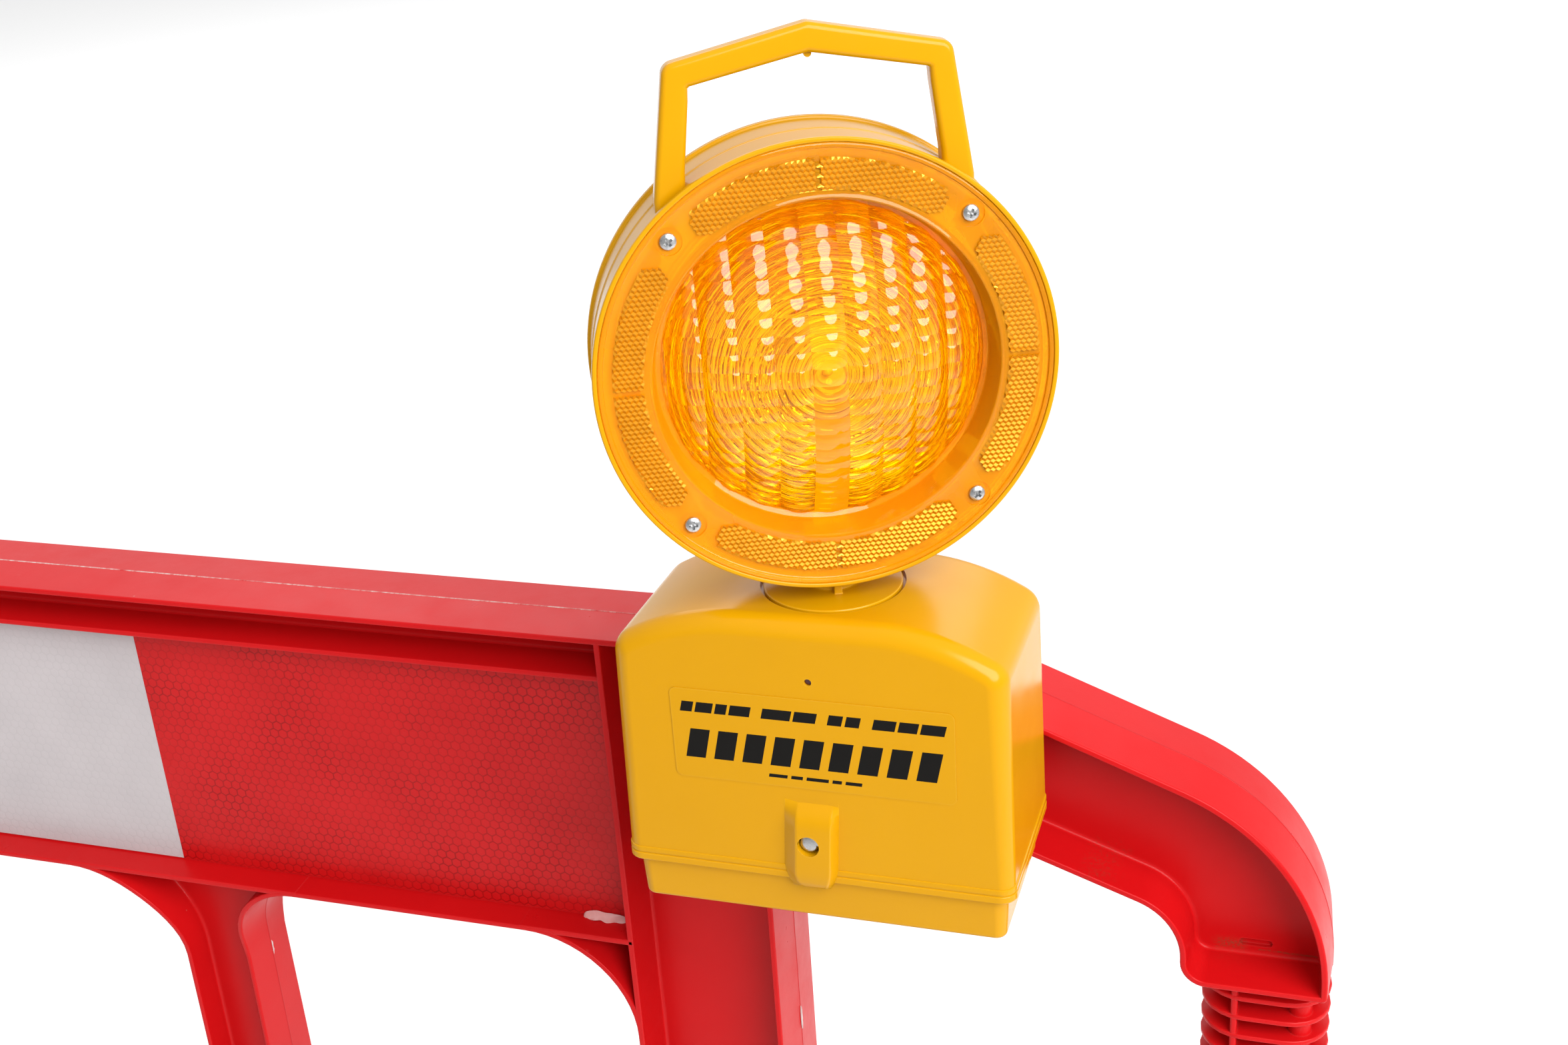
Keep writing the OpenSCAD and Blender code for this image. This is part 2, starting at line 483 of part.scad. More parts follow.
module swivel_neck() color(YEL) head() difference() {
    union() {
        translate([0, 0, top_z - 1.6]) cylinder(r = 29, h = 2.1);
        translate([0, 0, -112]) cylinder(r = neck_r, h = 30);
        translate([-1.8, -14.5, top_z + 0.4]) cube([3.6, 8, 14]);
        translate([-1.8, 6.5, top_z + 0.4]) cube([3.6, 8, 14]);
    }
    translate([0, 0, -120]) cylinder(r = 5, h = 50);
    translate([0, 50, 0]) rotate([90, 0, 0]) cylinder(r = case_r, h = 100);
    for (s = [-1, 1]) translate([0, s*8.2, -96]) cylinder(r = 1.3, h = 12);
    // groove for the retaining ring
    difference() {
        translate([0, 0, -108.6]) cylinder(r = 12, h = 2.2);
        translate([0, 0, -109]) cylinder(r = 9.2, h = 3);
    }
}
module neck_retaining_ring() color([0.2, 0.2, 0.2]) head() difference() {
    ring(9.25, 16, -108.5, -106.5);
    translate([-2, 9, -110]) cube([4, 10, 5]);
}
module neck_screws() color(STL) head() for (s = [-1, 1]) translate([0, s*8.2, 0]) union() {
    translate([0, 0, -case_ri + 0.05]) cylinder(r = 2.7, h = 1.9);
    translate([0, 0, -95.5]) cylinder(r = 1.25, h = 10);
}
module led_board() color([0.1, 0.42, 0.2]) head() box3(-7, 7, -0.8, 0.8, -80, 11);
module led_board_clip() color([0.92, 0.92, 0.9]) head() difference() {
    box3(-11, 11, -4.6, 4.6, -90, -72);
    box3(-7.05, 7.05, -0.85, 0.85, -80.05, -60);
    difference() {
        box3(-30, 30, -10, 10, -100, -60);
        translate([0, 20, 0]) rotate([90, 0, 0]) cylinder(r = case_ri - 0.05, h = 40);
    }
}
module led_modules() color([0.95, 0.93, 0.85]) head() for (s = [0, 180]) rotate([0, 0, s]) optic() union() {
    translate([0, 0, 0.8]) cylinder(r = 10, h = 4.5);
    translate([0, 0, 5]) cylinder(r = 6.5, h = 2);
    translate([0, 0, 6.5]) cylinder(r = 2.6, h = 3.5);
    translate([0, 0, 10]) sphere(r = 2.6);
}

barrier_frame();
link_arm();
link_socket();
front_board_panel();
rear_board_panel();
front_sheets_red();
front_sheets_white();
rear_sheets_red();
rear_sheets_white();
left_foot();
right_foot();
left_foot_pads();
right_foot_pads();
foot_pivot_bolts();
foot_pivot_nuts();
foot_nut_washers();
foot_head_washers();
foot_thrust_washers();
battery_cover();
battery_tray();
tray_gasket();
lantern_batteries();
battery_springs();
contact_board();
contact_pads();
contact_board_screws();
switch_housing();
switch_slider();
light_sensor();
lamp_lead();
cover_label();
clamp_bolt();
clamp_washer();
clamp_nut();
clamp_sleeve();
rear_spacer();
swivel_neck();
neck_retaining_ring();
neck_screws();
head_front_casing();
head_rear_casing();
front_lens();
rear_lens();
front_lens_gasket();
rear_lens_gasket();
front_lens_screws();
rear_lens_screws();
led_board();
led_board_clip();
led_modules();
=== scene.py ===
import bpy
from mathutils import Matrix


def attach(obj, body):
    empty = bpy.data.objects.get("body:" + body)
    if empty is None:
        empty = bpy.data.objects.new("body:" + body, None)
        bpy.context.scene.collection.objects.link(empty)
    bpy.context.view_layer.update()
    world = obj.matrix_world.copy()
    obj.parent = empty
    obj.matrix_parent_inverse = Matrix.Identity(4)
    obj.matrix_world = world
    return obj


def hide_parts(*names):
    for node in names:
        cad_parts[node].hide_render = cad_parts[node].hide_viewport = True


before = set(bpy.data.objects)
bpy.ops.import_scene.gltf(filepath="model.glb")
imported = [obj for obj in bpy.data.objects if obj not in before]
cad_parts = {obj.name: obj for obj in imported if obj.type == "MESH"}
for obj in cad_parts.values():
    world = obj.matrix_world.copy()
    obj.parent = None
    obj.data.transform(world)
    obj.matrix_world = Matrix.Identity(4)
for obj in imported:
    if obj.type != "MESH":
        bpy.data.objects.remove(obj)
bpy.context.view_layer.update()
import bpy, bmesh, math, random
import numpy as np
from mathutils import Vector, Matrix
from mathutils.geometry import tessellate_polygon

MM = 0.001
rad = math.radians

# ------------------------------------------------------------------ camera
cam = bpy.data.cameras.new("camera")
cam_ob = bpy.data.objects.new("camera", cam)
bpy.context.scene.collection.objects.link(cam_ob)
AZ, EL, ROLL = rad(18.85), rad(23.62), rad(-3.9)
fwd = Vector((-math.sin(AZ) * math.cos(EL), math.cos(AZ) * math.cos(EL), -math.sin(EL)))
rgt = Vector((math.cos(AZ), math.sin(AZ), 0))
up = rgt.cross(fwd)
r2 = math.cos(ROLL) * rgt + math.sin(ROLL) * up
u2 = -math.sin(ROLL) * rgt + math.cos(ROLL) * up
CAM = Vector((1.0274, -0.7235, 1.3892))
m = Matrix((r2, u2, -fwd)).transposed().to_4x4()
m.translation = CAM
cam_ob.matrix_world = m
cam.sensor_fit = 'HORIZONTAL'
cam.sensor_width = 36.0
cam.lens = 36.0 * 2750.0 / 2353.0
cam.clip_start = 0.02
cam.clip_end = 60
bpy.context.scene.camera = cam_ob

# ------------------------------------------------------------------ materials
TONE = 0.64   # pigments sit this much under their sunlit look: the studio is bright


def new_mat(name):
    mt = bpy.data.materials.new(name)
    mt.use_nodes = True
    nt = mt.node_tree
    nt.nodes.clear()
    out = nt.nodes.new("ShaderNodeOutputMaterial")
    bs = nt.nodes.new("ShaderNodeBsdfPrincipled")
    nt.links.new(bs.outputs[0], out.inputs[0])
    return mt, nt, bs


class N:
    """Small helper round a node tree."""
    def __init__(self, nt):
        self.nt = nt

    def node(self, kind, **kw):
        n = self.nt.nodes.new(kind)
        for k, v in kw.items():
            setattr(n, k, v)
        return n

    def link(self, a, b):
        self.nt.links.new(a, b)

    def coords(self, kind="Object"):
        return self.node("ShaderNodeTexCoord").outputs[kind]

    def noise(self, scale, detail=3.0, rough=0.5, vec=None, stretch=None, dist=0.0):
        n = self.node("ShaderNodeTexNoise")
        n.inputs["Scale"].default_value = scale
        n.inputs["Detail"].default_value = detail
        n.inputs["Roughness"].default_value = rough
        n.inputs["Distortion"].default_value = dist
        v = vec if vec is not None else self.coords()
        if stretch is not None:
            mp = self.node("ShaderNodeMapping")
            mp.inputs["Scale"].default_value = stretch
            self.link(v, mp.inputs[0])
            v = mp.outputs[0]
        self.link(v, n.inputs["Vector"])
        return n.outputs["Fac"]

    def ramp(self, fac, stops):
        r = self.node("ShaderNodeValToRGB")
        e = r.color_ramp.elements
        e[0].position, e[0].color = stops[0][0], self.rgba(stops[0][1])
        e[1].position, e[1].color = stops[-1][0], self.rgba(stops[-1][1])
        for p, c in stops[1:-1]:
            x = e.new(p)
            x.color = self.rgba(c)
        self.link(fac, r.inputs[0])
        return r.outputs[0]

    @staticmethod
    def rgba(c):
        if isinstance(c, (int, float)):
            return (c, c, c, 1)
        return (c[0] * TONE, c[1] * TONE, c[2] * TONE, 1)

    def mix(self, fac, a, b, blend="MIX"):
        n = self.node("ShaderNodeMix", data_type="RGBA", blend_type=blend)
        for i, v in ((0, fac), (6, a), (7, b)):
            s = n.inputs[i]
            if isinstance(v, (int, float)):
                s.default_value = v if i == 0 else (v, v, v, 1)
            elif isinstance(v, (tuple, list)):
                s.default_value = self.rgba(v)
            else:
                self.link(v, s)
        return n.outputs[2]

    def math(self, op, a, b=None, c=None, clamp=False):
        n = self.node("ShaderNodeMath", operation=op, use_clamp=clamp)
        for i, v in enumerate((a, b, c)):
            if v is None:
                continue
            if isinstance(v, (int, float)):
                n.inputs[i].default_value = v
            else:
                self.link(v, n.inputs[i])
        return n.outputs[0]

    def xyz(self, vec=None):
        s = self.node("ShaderNodeSeparateXYZ")
        self.link(vec if vec is not None else self.coords(), s.inputs[0])
        return s.outputs

    def bump(self, height, strength=0.3, dist=0.001, normal=None):
        b = self.node("ShaderNodeBump")
        b.inputs["Strength"].default_value = strength
        b.inputs["Distance"].default_value = dist
        self.link(height, b.inputs["Height"])
        if normal is not None:
            self.link(normal, b.inputs["Normal"])
        return b.outputs[0]

    def box_mask(self, x0, x1, z0, z1, soft, wob=0.0, yabs=None):
        """1 inside a box in object X and Z, with soft edges; wob adds a wandering outline."""
        x, y, z = self.xyz()
        if wob:
            w = self.math("MULTIPLY", self.math("SUBTRACT", self.noise(260, 4, 0.6), 0.5), wob)
            x = self.math("ADD", x, w)
            z = self.math("ADD", z, w)
        def edge(v, lo, hi):
            a = self.node("ShaderNodeMapRange", interpolation_type="SMOOTHSTEP")
            self.link(v, a.inputs[0])
            a.inputs[1].default_value, a.inputs[2].default_value = lo - soft, lo + soft
            b = self.node("ShaderNodeMapRange", interpolation_type="SMOOTHSTEP")
            self.link(v, b.inputs[0])
            b.inputs[1].default_value, b.inputs[2].default_value = hi + soft, hi - soft
            return self.math("MULTIPLY", a.outputs[0], b.outputs[0])
        mk = self.math("MULTIPLY", edge(x, x0, x1), edge(z, z0, z1))
        return mk


def edge_wear(n, amount=1.0, radius=0.0012):
    """Mask of convex edges: how far the rounded normal turns from the true one."""
    bv = n.node("ShaderNodeBevel", samples=4)
    bv.inputs["Radius"].default_value = radius
    g = n.node("ShaderNodeNewGeometry")
    d = n.node("ShaderNodeVectorMath", operation="DOT_PRODUCT")
    n.link(bv.outputs[0], d.inputs[0])
    n.link(g.outputs["Normal"], d.inputs[1])
    e = n.math("SUBTRACT", 1.0, d.outputs["Value"])
    br = n.noise(420, 4, 0.7)
    e = n.math("MULTIPLY", e, n.math("MULTIPLY", br, 6.0 * amount))
    return n.math("MINIMUM", e, 1.0)


def red_plastic():
    mt, nt, b = new_mat("red_moulding")
    n = N(nt)
    big = n.noise(7, 4, 0.6)
    col = n.ramp(big, [(0.30, (0.700, 0.0055, 0.0080)), (0.55, (0.760, 0.0070, 0.0095)), (0.8, (0.790, 0.0090, 0.0115))])
    # chalky scuffs: sparse, long and thin
    s1 = n.noise(90, 2, 0.5, stretch=(1.0, 1.0, 0.06))
    s2 = n.noise(90, 2, 0.5, stretch=(0.07, 1.0, 1.0))
    sc = n.math("MAXIMUM", n.ramp(s1, [(0.735, 0.0), (0.76, 1.0)]), n.ramp(s2, [(0.735, 0.0), (0.76, 1.0)]))
    patch = n.ramp(n.noise(11, 3, 0.5), [(0.52, 0.0), (0.66, 1.0)])
    scuff = n.math("MULTIPLY", n.math("MULTIPLY", sc, patch), 0.35)
    col = n.mix(scuff, col, (0.80, 0.18, 0.17))
    # fine dust specks
    spk = n.node("ShaderNodeTexVoronoi")
    spk.inputs["Scale"].default_value = 75
    n.link(n.coords(), spk.inputs["Vector"])
    sp = n.ramp(spk.outputs["Distance"], [(0.030, 1.0), (0.05, 0.0)])
    spn = n.ramp(n.noise(23, 2), [(0.62, 0.0), (0.64, 1.0)])
    col = n.mix(n.math("MULTIPLY", n.math("MULTIPLY", sp, spn), 0.55), col, (0.75, 0.32, 0.28))
    # paler worn edges
    col = n.mix(n.math("MULTIPLY", edge_wear(n, 0.7, 0.0014), 0.30), col, (0.86, 0.10, 0.10))
    # dirt that settled on the arm's foot
    dirt = n.box_mask(0.9790, 0.9925, 0.8545, 0.8590, 0.0030, 0.006, 0.0085)
    dirt = n.math("MULTIPLY", dirt, n.ramp(n.noise(900, 3, 0.7), [(0.40, 0.0), (0.62, 1.0)]))
    line = n.box_mask(0.9985, 1.0250, 0.8548, 0.8556, 0.0004, 0.0015, 0.0065)
    line = n.math("MULTIPLY", line, n.ramp(n.noise(500, 3, 0.7), [(0.36, 0.0), (0.56, 0.8)]))
    dirt = n.math("MAXIMUM", dirt, line)
    col = n.mix(n.math("MULTIPLY", dirt, 0.75), col, (0.20, 0.075, 0.035))
    sm = n.box_mask(0.9200, 0.9385, 0.8980, 0.9045, 0.0030, 0.016)
    sm = n.math("MULTIPLY", sm, n.ramp(n.noise(700, 4, 0.75), [(0.50, 0.0), (0.66, 1.0)]))
    col = n.mix(n.math("MULTIPLY", sm, 0.5), col, (0.30, 0.05, 0.03))
    n.link(col, b.inputs["Base Color"])
    ro = n.ramp(n.noise(38, 5, 0.65), [(0.3, 0.27), (0.7, 0.40)])
    ro = n.mix(n.math("MAXIMUM", scuff, dirt), ro, 0.75)
    n.link(ro, b.inputs["Roughness"])
    b.inputs["IOR"].default_value = 1.5
    b.inputs["Specular IOR Level"].default_value = 0.14
    b.inputs["Coat Weight"].default_value = 0.0
    b.inputs["Coat Roughness"].default_value = 0.15
    b.inputs["Subsurface Weight"].default_value = 0.0
    h = n.noise(900, 2, 0.5)
    h2 = n.noise(30, 3, 0.5)
    nb = n.bump(h, 0.05, 0.0003)
    nb = n.bump(h2, 0.12, 0.0012, nb)
    nb = n.bump(n.math("MULTIPLY", scuff, -1.0), 0.3, 0.0002, nb)
    n.link(nb, b.inputs["Normal"])
    return mt


def yellow_plastic(name="yellow_moulding", base=(0.83, 0.40, 0.0015)):
    mt, nt, b = new_mat(name)
    n = N(nt)
    lo = tuple(c * f for c, f in zip(base, (0.965, 0.955, 0.8)))
    col = n.ramp(n.noise(9, 4, 0.6), [(0.3, lo), (0.7, base)])
    spk = n.node("ShaderNodeTexVoronoi")
    spk.inputs["Scale"].default_value = 60
    n.link(n.coords(), spk.inputs["Vector"])
    sp = n.ramp(spk.outputs["Distance"], [(0.022, 1.0), (0.034, 0.0)])
    gate = n.ramp(n.noise(31, 2), [(0.63, 0.0), (0.65, 1.0)])
    col = n.mix(n.math("MULTIPLY", n.math("MULTIPLY", sp, gate), 0.7), col, (0.16, 0.09, 0.02))
    col = n.mix(n.math("MULTIPLY", edge_wear(n, 0.7, 0.0010), 0.30), col, (1.0, 0.62, 0.08))
    n.link(col, b.inputs["Base Color"])
    ro = n.ramp(n.noise(55, 5, 0.6), [(0.3, 0.15), (0.7, 0.22)])
    n.link(ro, b.inputs["Roughness"])
    b.inputs["IOR"].default_value = 1.49
    b.inputs["Specular IOR Level"].default_value = 0.19
    b.inputs["Coat Weight"].default_value = 0.0
    b.inputs["Coat Roughness"].default_value = 0.06
    nb = n.bump(n.noise(1500, 2, 0.5), 0.02, 0.0002)
    nb = n.bump(n.noise(14, 1, 0.5), 0.05, 0.0010, nb)
    n.link(nb, b.inputs["Normal"])
    return mt


def hex_sheeting(name, base, line, bright, strength):
    """Encapsulated-lens sheeting: a fine hexagon seal pattern in object X and Z."""
    mt, nt, b = new_mat(name)
    n = N(nt)
    x, y, z = n.xyz()
    # wavering rows, as pressed film has
    wob = n.math("MULTIPLY", n.math("SUBTRACT", n.noise(60, 2, 0.5), 0.5), 0.0011)
    x = n.math("ADD", x, wob)
    z = n.math("ADD", z, n.math("MULTIPLY", n.math("SUBTRACT", n.noise(47, 2, 0.5), 0.5), 0.0011))
    P = 0.0052
    def cell(dx, dz):
        # distance to the centre of the nearest cell on one rectangular lattice
        ax = n.math("ADD", n.math("DIVIDE", x, P), dx)
        az = n.math("ADD", n.math("DIVIDE", z, P * math.sqrt(3)), dz)
        fx = n.math("SUBTRACT", n.math("FRACT", ax), 0.5)
        fz = n.math("MULTIPLY", n.math("SUBTRACT", n.math("FRACT", az), 0.5), math.sqrt(3))
        fx = n.math("ABSOLUTE", fx)
        fz = n.math("ABSOLUTE", fz)
        # hexagon metric, flats facing X
        h2 = n.math("ADD", n.math("MULTIPLY", fx, 0.5), n.math("MULTIPLY", fz, math.sqrt(3) / 2))
        return n.math("MAXIMUM", fx, h2)
    d = n.math("MINIMUM", cell(100.0, 100.0), cell(100.5, 100.5))
    edge = n.ramp(d, [(0.40, 0.0), (0.47, 1.0), (0.53, 1.0)])
    fade = n.ramp(n.noise(18, 3, 0.6), [(0.35, 0.25), (0.65, 1.0)])
    e = n.math("MULTIPLY", edge, n.math("MULTIPLY", fade, strength))
    col = n.ramp(n.noise(16, 4, 0.6), [(0.3, base), (0.7, bright)])
    col = n.mix(e, col, line)
    spk = n.node("ShaderNodeTexVoronoi")
    spk.inputs["Scale"].default_value = 70
    n.link(n.coords(), spk.inputs["Vector"])
    sp = n.ramp(spk.outputs["Distance"], [(0.035, 1.0), (0.055, 0.0)])
    gate = n.ramp(n.noise(37, 2), [(0.60, 0.0), (0.62, 1.0)])
    col = n.mix(n.math("MULTIPLY", n.math("MULTIPLY", sp, gate), 0.5), col, tuple(c * 0.35 for c in base))
    n.link(col, b.inputs["Base Color"])
    ro = n.ramp(n.noise(70, 5, 0.7), [(0.3, 0.34), (0.7, 0.52)])
    n.link(ro, b.inputs["Roughness"])
    b.inputs["Specular IOR Level"].default_value = 0.22
    b.inputs["Coat Weight"].default_value = 0.04
    b.inputs["Coat Roughness"].default_value = 0.25
    nb = n.bump(n.math("MULTIPLY", edge, -1.0), 0.16, 0.00025)
    nb = n.bump(n.noise(45, 4, 0.6), 0.18, 0.0008, nb)
    n.link(nb, b.inputs["Normal"])
    return mt


def steel(name="zinc_plate", rough=0.22):
    mt, nt, b = new_mat(name)
    n = N(nt)
    col = n.ramp(n.noise(600, 4, 0.6), [(0.3, (0.55, 0.56, 0.57)), (0.7, (0.80, 0.80, 0.80))])
    n.link(col, b.inputs["Base Color"])
    b.inputs["Metallic"].default_value = 1.0
    ro = n.ramp(n.noise(900, 4, 0.7), [(0.3, rough), (0.7, rough + 0.16)])
    n.link(ro, b.inputs["Roughness"])
    n.link(n.bump(n.noise(2500, 3, 0.6), 0.15, 0.0001), b.inputs["Normal"])
    return mt


def rubber(name, base, scale=260, bump=0.5):
    mt, nt, b = new_mat(name)
    n = N(nt)
    col = n.ramp(n.noise(40, 6, 0.7), [(0.3, base), (0.7, tuple(c * 1.7 for c in base))])
    crumb = n.node("ShaderNodeTexVoronoi")
    crumb.inputs["Scale"].default_value = scale
    n.link(n.coords(), crumb.inputs["Vector"])
    col = n.mix(n.ramp(crumb.outputs["Color"], [(0.55, 0.0), (0.95, 0.35)]), col, tuple(c * 3.2 for c in base))
    col = n.mix(n.math("MULTIPLY", edge_wear(n, 1.0, 0.0025), 0.35), col, tuple(min(1, c * 4 + 0.03) for c in base))
    n.link(col, b.inputs["Base Color"])
    n.link(n.ramp(n.noise(120, 5, 0.7), [(0.3, 0.62), (0.7, 0.85)]), b.inputs["Roughness"])
    nb = n.bump(crumb.outputs["Distance"], bump, 0.0006)
    nb = n.bump(n.noise(60, 4, 0.6), 0.25, 0.0015, nb)
    n.link(nb, b.inputs["Normal"])
    return mt


def plain(name, base, rough=0.45, metallic=0.0, scale=300, bump=0.08, coat=0.0):
    mt, nt, b = new_mat(name)
    n = N(nt)
    lo = tuple(c * 0.86 for c in base)
    n.link(n.ramp(n.noise(scale * 0.2, 4, 0.6), [(0.3, lo), (0.7, base)]), b.inputs["Base Color"])
    b.inputs["Metallic"].default_value = metallic
    b.inputs["Coat Weight"].default_value = coat
    n.link(n.ramp(n.noise(scale, 4, 0.6), [(0.3, rough * 0.85), (0.7, min(1.0, rough * 1.15))]), b.inputs["Roughness"])
    n.link(n.bump(n.noise(scale * 2, 3, 0.6), bump, 0.0002), b.inputs["Normal"])
    return mt


def amber(name="amber_clear", tint=(1.0, 0.72, 0.01), rough=0.006, body=0.03, pigment=(1.0, 0.36, 0.002)):
    mt, nt, b = new_mat(name)
    n = N(nt)
    col = n.ramp(n.noise(14, 3, 0.5), [(0.3, tuple(c * f for c, f in zip(tint, (1.0, 0.94, 0.8)))), (0.7, tint)])
    n.link(col, b.inputs["Base Color"])
    b.inputs["Transmission Weight"].default_value = 1.0
    b.inputs["IOR"].default_value = 1.49
    b.inputs["Specular IOR Level"].default_value = 0.38
    # a little of the light is scattered back by the pigment
    haze = n.node("ShaderNodeBsdfDiffuse")
    n.link(n.ramp(n.noise(30, 3, 0.5), [(0.3, tuple(c * 0.92 for c in pigment)), (0.7, pigment)]), haze.inputs[0])
    cloud = n.node("ShaderNodeMixShader")
    cloud.inputs[0].default_value = body
    n.link(b.outputs[0], cloud.inputs[1])
    n.link(haze.outputs[0], cloud.inputs[2])
    n.link(n.ramp(n.noise(160, 4, 0.6), [(0.35, rough), (0.75, rough + 0.02)]), b.inputs["Roughness"])
    n.link(n.bump(n.noise(50, 2, 0.5), 0.05, 0.0006), b.inputs["Normal"])
    # light reaches what is inside: the shell passes shadow rays with its own tint
    out = [x for x in nt.nodes if x.type == "OUTPUT_MATERIAL"][0]
    lp = n.node("ShaderNodeLightPath")
    tr = n.node("ShaderNodeBsdfTransparent")
    tr.inputs[0].default_value = (tint[0] * 0.9, tint[1] * 0.9, tint[2], 1)
    mx = n.node("ShaderNodeMixShader")
    n.link(lp.outputs["Is Shadow Ray"], mx.inputs[0])
    n.link(cloud.outputs[0], mx.inputs[1])
    n.link(tr.outputs[0], mx.inputs[2])
    n.link(mx.outputs[0], out.inputs[0])
    return mt


TONE = 1.0
clear_amber = amber()
ring_amber = amber("amber_rim", (1.0, 0.76, 0.08), 0.01, 0.42, (0.72, 0.30, 0.004))
TONE = 0.80
bare_steel = steel()
TONE = 0.64
M = {
    "red": red_plastic(),
    "yellow": yellow_plastic(),
    "red_sheet": hex_sheeting("red_sheeting", (0.66, 0.0040, 0.0055), (0.34, 0.002, 0.003), (0.76, 0.008, 0.010), 0.9),
    "white_sheet": hex_sheeting("white_sheeting", (0.67, 0.62, 0.635), (0.59, 0.545, 0.56), (0.74, 0.685, 0.70), 0.28),
    "steel": bare_steel,
    "foot": rubber("recycled_rubber", (0.020, 0.020, 0.021)),
    "pad": rubber("pad_rubber", (0.012, 0.012, 0.012), 500, 0.2),
    "seal": rubber("seal_rubber", (0.012, 0.012, 0.012), 900, 0.1),
    "lens_seal": rubber("lens_seal_rubber", (0.55, 0.27, 0.012), 900, 0.05),
    "white_pl": plain("white_nylon", (0.78, 0.78, 0.74), 0.5),
    "black_pl": plain("black_plastic", (0.018, 0.018, 0.018), 0.45),
    "case": plain("battery_wrap", (0.03, 0.036, 0.05), 0.4, coat=0.2),
    "brass": plain("contact_metal", (0.80, 0.62, 0.30), 0.25, 1.0),
    "board": plain("solder_mask", (0.015, 0.15, 0.05), 0.3, coat=0.4),
    "pale_board": plain("pale_solder_mask", (1.0, 0.86, 0.50), 0.4, coat=0.3),
    "sensor": plain("sensor_epoxy", (0.09, 0.008, 0.008), 0.12, coat=0.5),
    "alu": plain("drawn_aluminium", (0.72, 0.73, 0.75), 0.3, 1.0),
    "amber": clear_amber,
    "amber_rim": ring_amber,
}

# ------------------------------------------------------------------ mesh helpers (millimetres)
class Shape:
    def __init__(self):
        self.v, self.f, self.m = [], [], []

    def add(self, verts, faces, mat=0):
        o = len(self.v)
        self.v.extend([tuple(map(float, p)) for p in verts])
        self.f.extend([tuple(i + o for i in f) for f in faces])
        self.m.extend([mat] * len(faces))
        return o

    def merge(self, other, tf=None):
        o = len(self.v)
        vs = other.v if tf is None else [tuple(tf @ Vector(p)) for p in other.v]
        self.v.extend(vs)
        self.f.extend([tuple(i + o for i in f) for f in other.f])
        self.m.extend(other.m)


def build(name, shape, mats, body, replaces=(), sharp=32, tf=None, weld=0.0, recalc=True, weighted=True, bevel=None):
    me = bpy.data.meshes.new(name)
    vs = shape.v if tf is None else [tuple(tf @ Vector(p)) for p in shape.v]
    me.from_pydata([(x * MM, y * MM, z * MM) for x, y, z in vs], [], shape.f)
    mats = mats if isinstance(mats, (list, tuple)) else [mats]
    for mt in mats:
        me.materials.append(mt)
    for p, mi in zip(me.polygons, shape.m):
        p.material_index = mi
    bm = bmesh.new()
    bm.from_mesh(me)
    if weld:
        bmesh.ops.remove_doubles(bm, verts=bm.verts, dist=weld * MM)
        bmesh.ops.dissolve_degenerate(bm, edges=bm.edges, dist=1e-7)
    if recalc:
        bmesh.ops.recalc_face_normals(bm, faces=bm.faces)
    bm.to_mesh(me)
    bm.free()
    me.shade_smooth()
    me.set_sharp_from_angle(angle=rad(sharp))
    ob = bpy.data.objects.new(name, me)
    bpy.context.scene.collection.objects.link(ob)
    if bevel:
        b = ob.modifiers.new("edge", "BEVEL")
        b.width = bevel * MM
        b.segments = 2
        b.limit_method = 'ANGLE'
        b.angle_limit = rad(40)
        b.harden_normals = False
    if weighted:
        w = ob.modifiers.new("shade", "WEIGHTED_NORMAL")
        w.keep_sharp = True
        w.weight = 50
    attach(ob, body)
    if replaces:
        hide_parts(*([replaces] if isinstance(replaces, str) else replaces))
    return ob


def arc(cx, cz, r, a0, a1, n=12):
    return [(cx + r * math.cos(rad(a0 + (a1 - a0) * i / n)), cz + r * math.sin(rad(a0 + (a1 - a0) * i / n))) for i in range(n + 1)]


def round_path(pts, closed=True, seg=7):
    """pts: (x, z, radius). Returns a list of (x, z) with every corner rounded."""
    out = []
    n = len(pts)
    for i, p in enumerate(pts):
        r = p[2] if len(p) > 2 else 0
        if r <= 0 or (not closed and i in (0, n - 1)):
            out.append((p[0], p[1]))
            continue
        a = Vector(pts[i - 1][:2]) - Vector(p[:2])
        b = Vector(pts[(i + 1) % n][:2]) - Vector(p[:2])
        a.normalize()
        b.normalize()
        ang = math.acos(max(-1, min(1, a.dot(b))))
        t = r / math.tan(ang / 2)
        c = Vector(p[:2]) + (a + b).normalized() * (r / math.sin(ang / 2))
        p0 = Vector(p[:2]) + a * t
        p1 = Vector(p[:2]) + b * t
        a0 = math.atan2(p0.y - c.y, p0.x - c.x)
        a1 = math.atan2(p1.y - c.y, p1.x - c.x)
        d = (a1 - a0 + math.pi) % (2 * math.pi) - math.pi
        for k in range(seg + 1):
            q = a0 + d * k / seg
            out.append((c.x + r * math.cos(q), c.y + r * math.sin(q)))
    return out


def path_normals(path, closed):
    """Left-hand normals with the mitre factor."""
    n = len(path)
    res = []
    for i in range(n):
        p = Vector(path[i])
        if closed or 0 < i < n - 1:
            a = (p - Vector(path[i - 1])).normalized()
            b = (Vector(path[(i + 1) % n]) - p).normalized()
        elif i == 0:
            a = b = (Vector(path[1]) - p).normalized()
        else:
            a = b = (p - Vector(path[i - 1])).normalized()
        na, nb = Vector((-a.y, a.x)), Vector((-b.y, b.x))
        m_ = (na + nb)
        m_.normalize()
        res.append(m_ / max(0.35, m_.dot(na)))
    return res


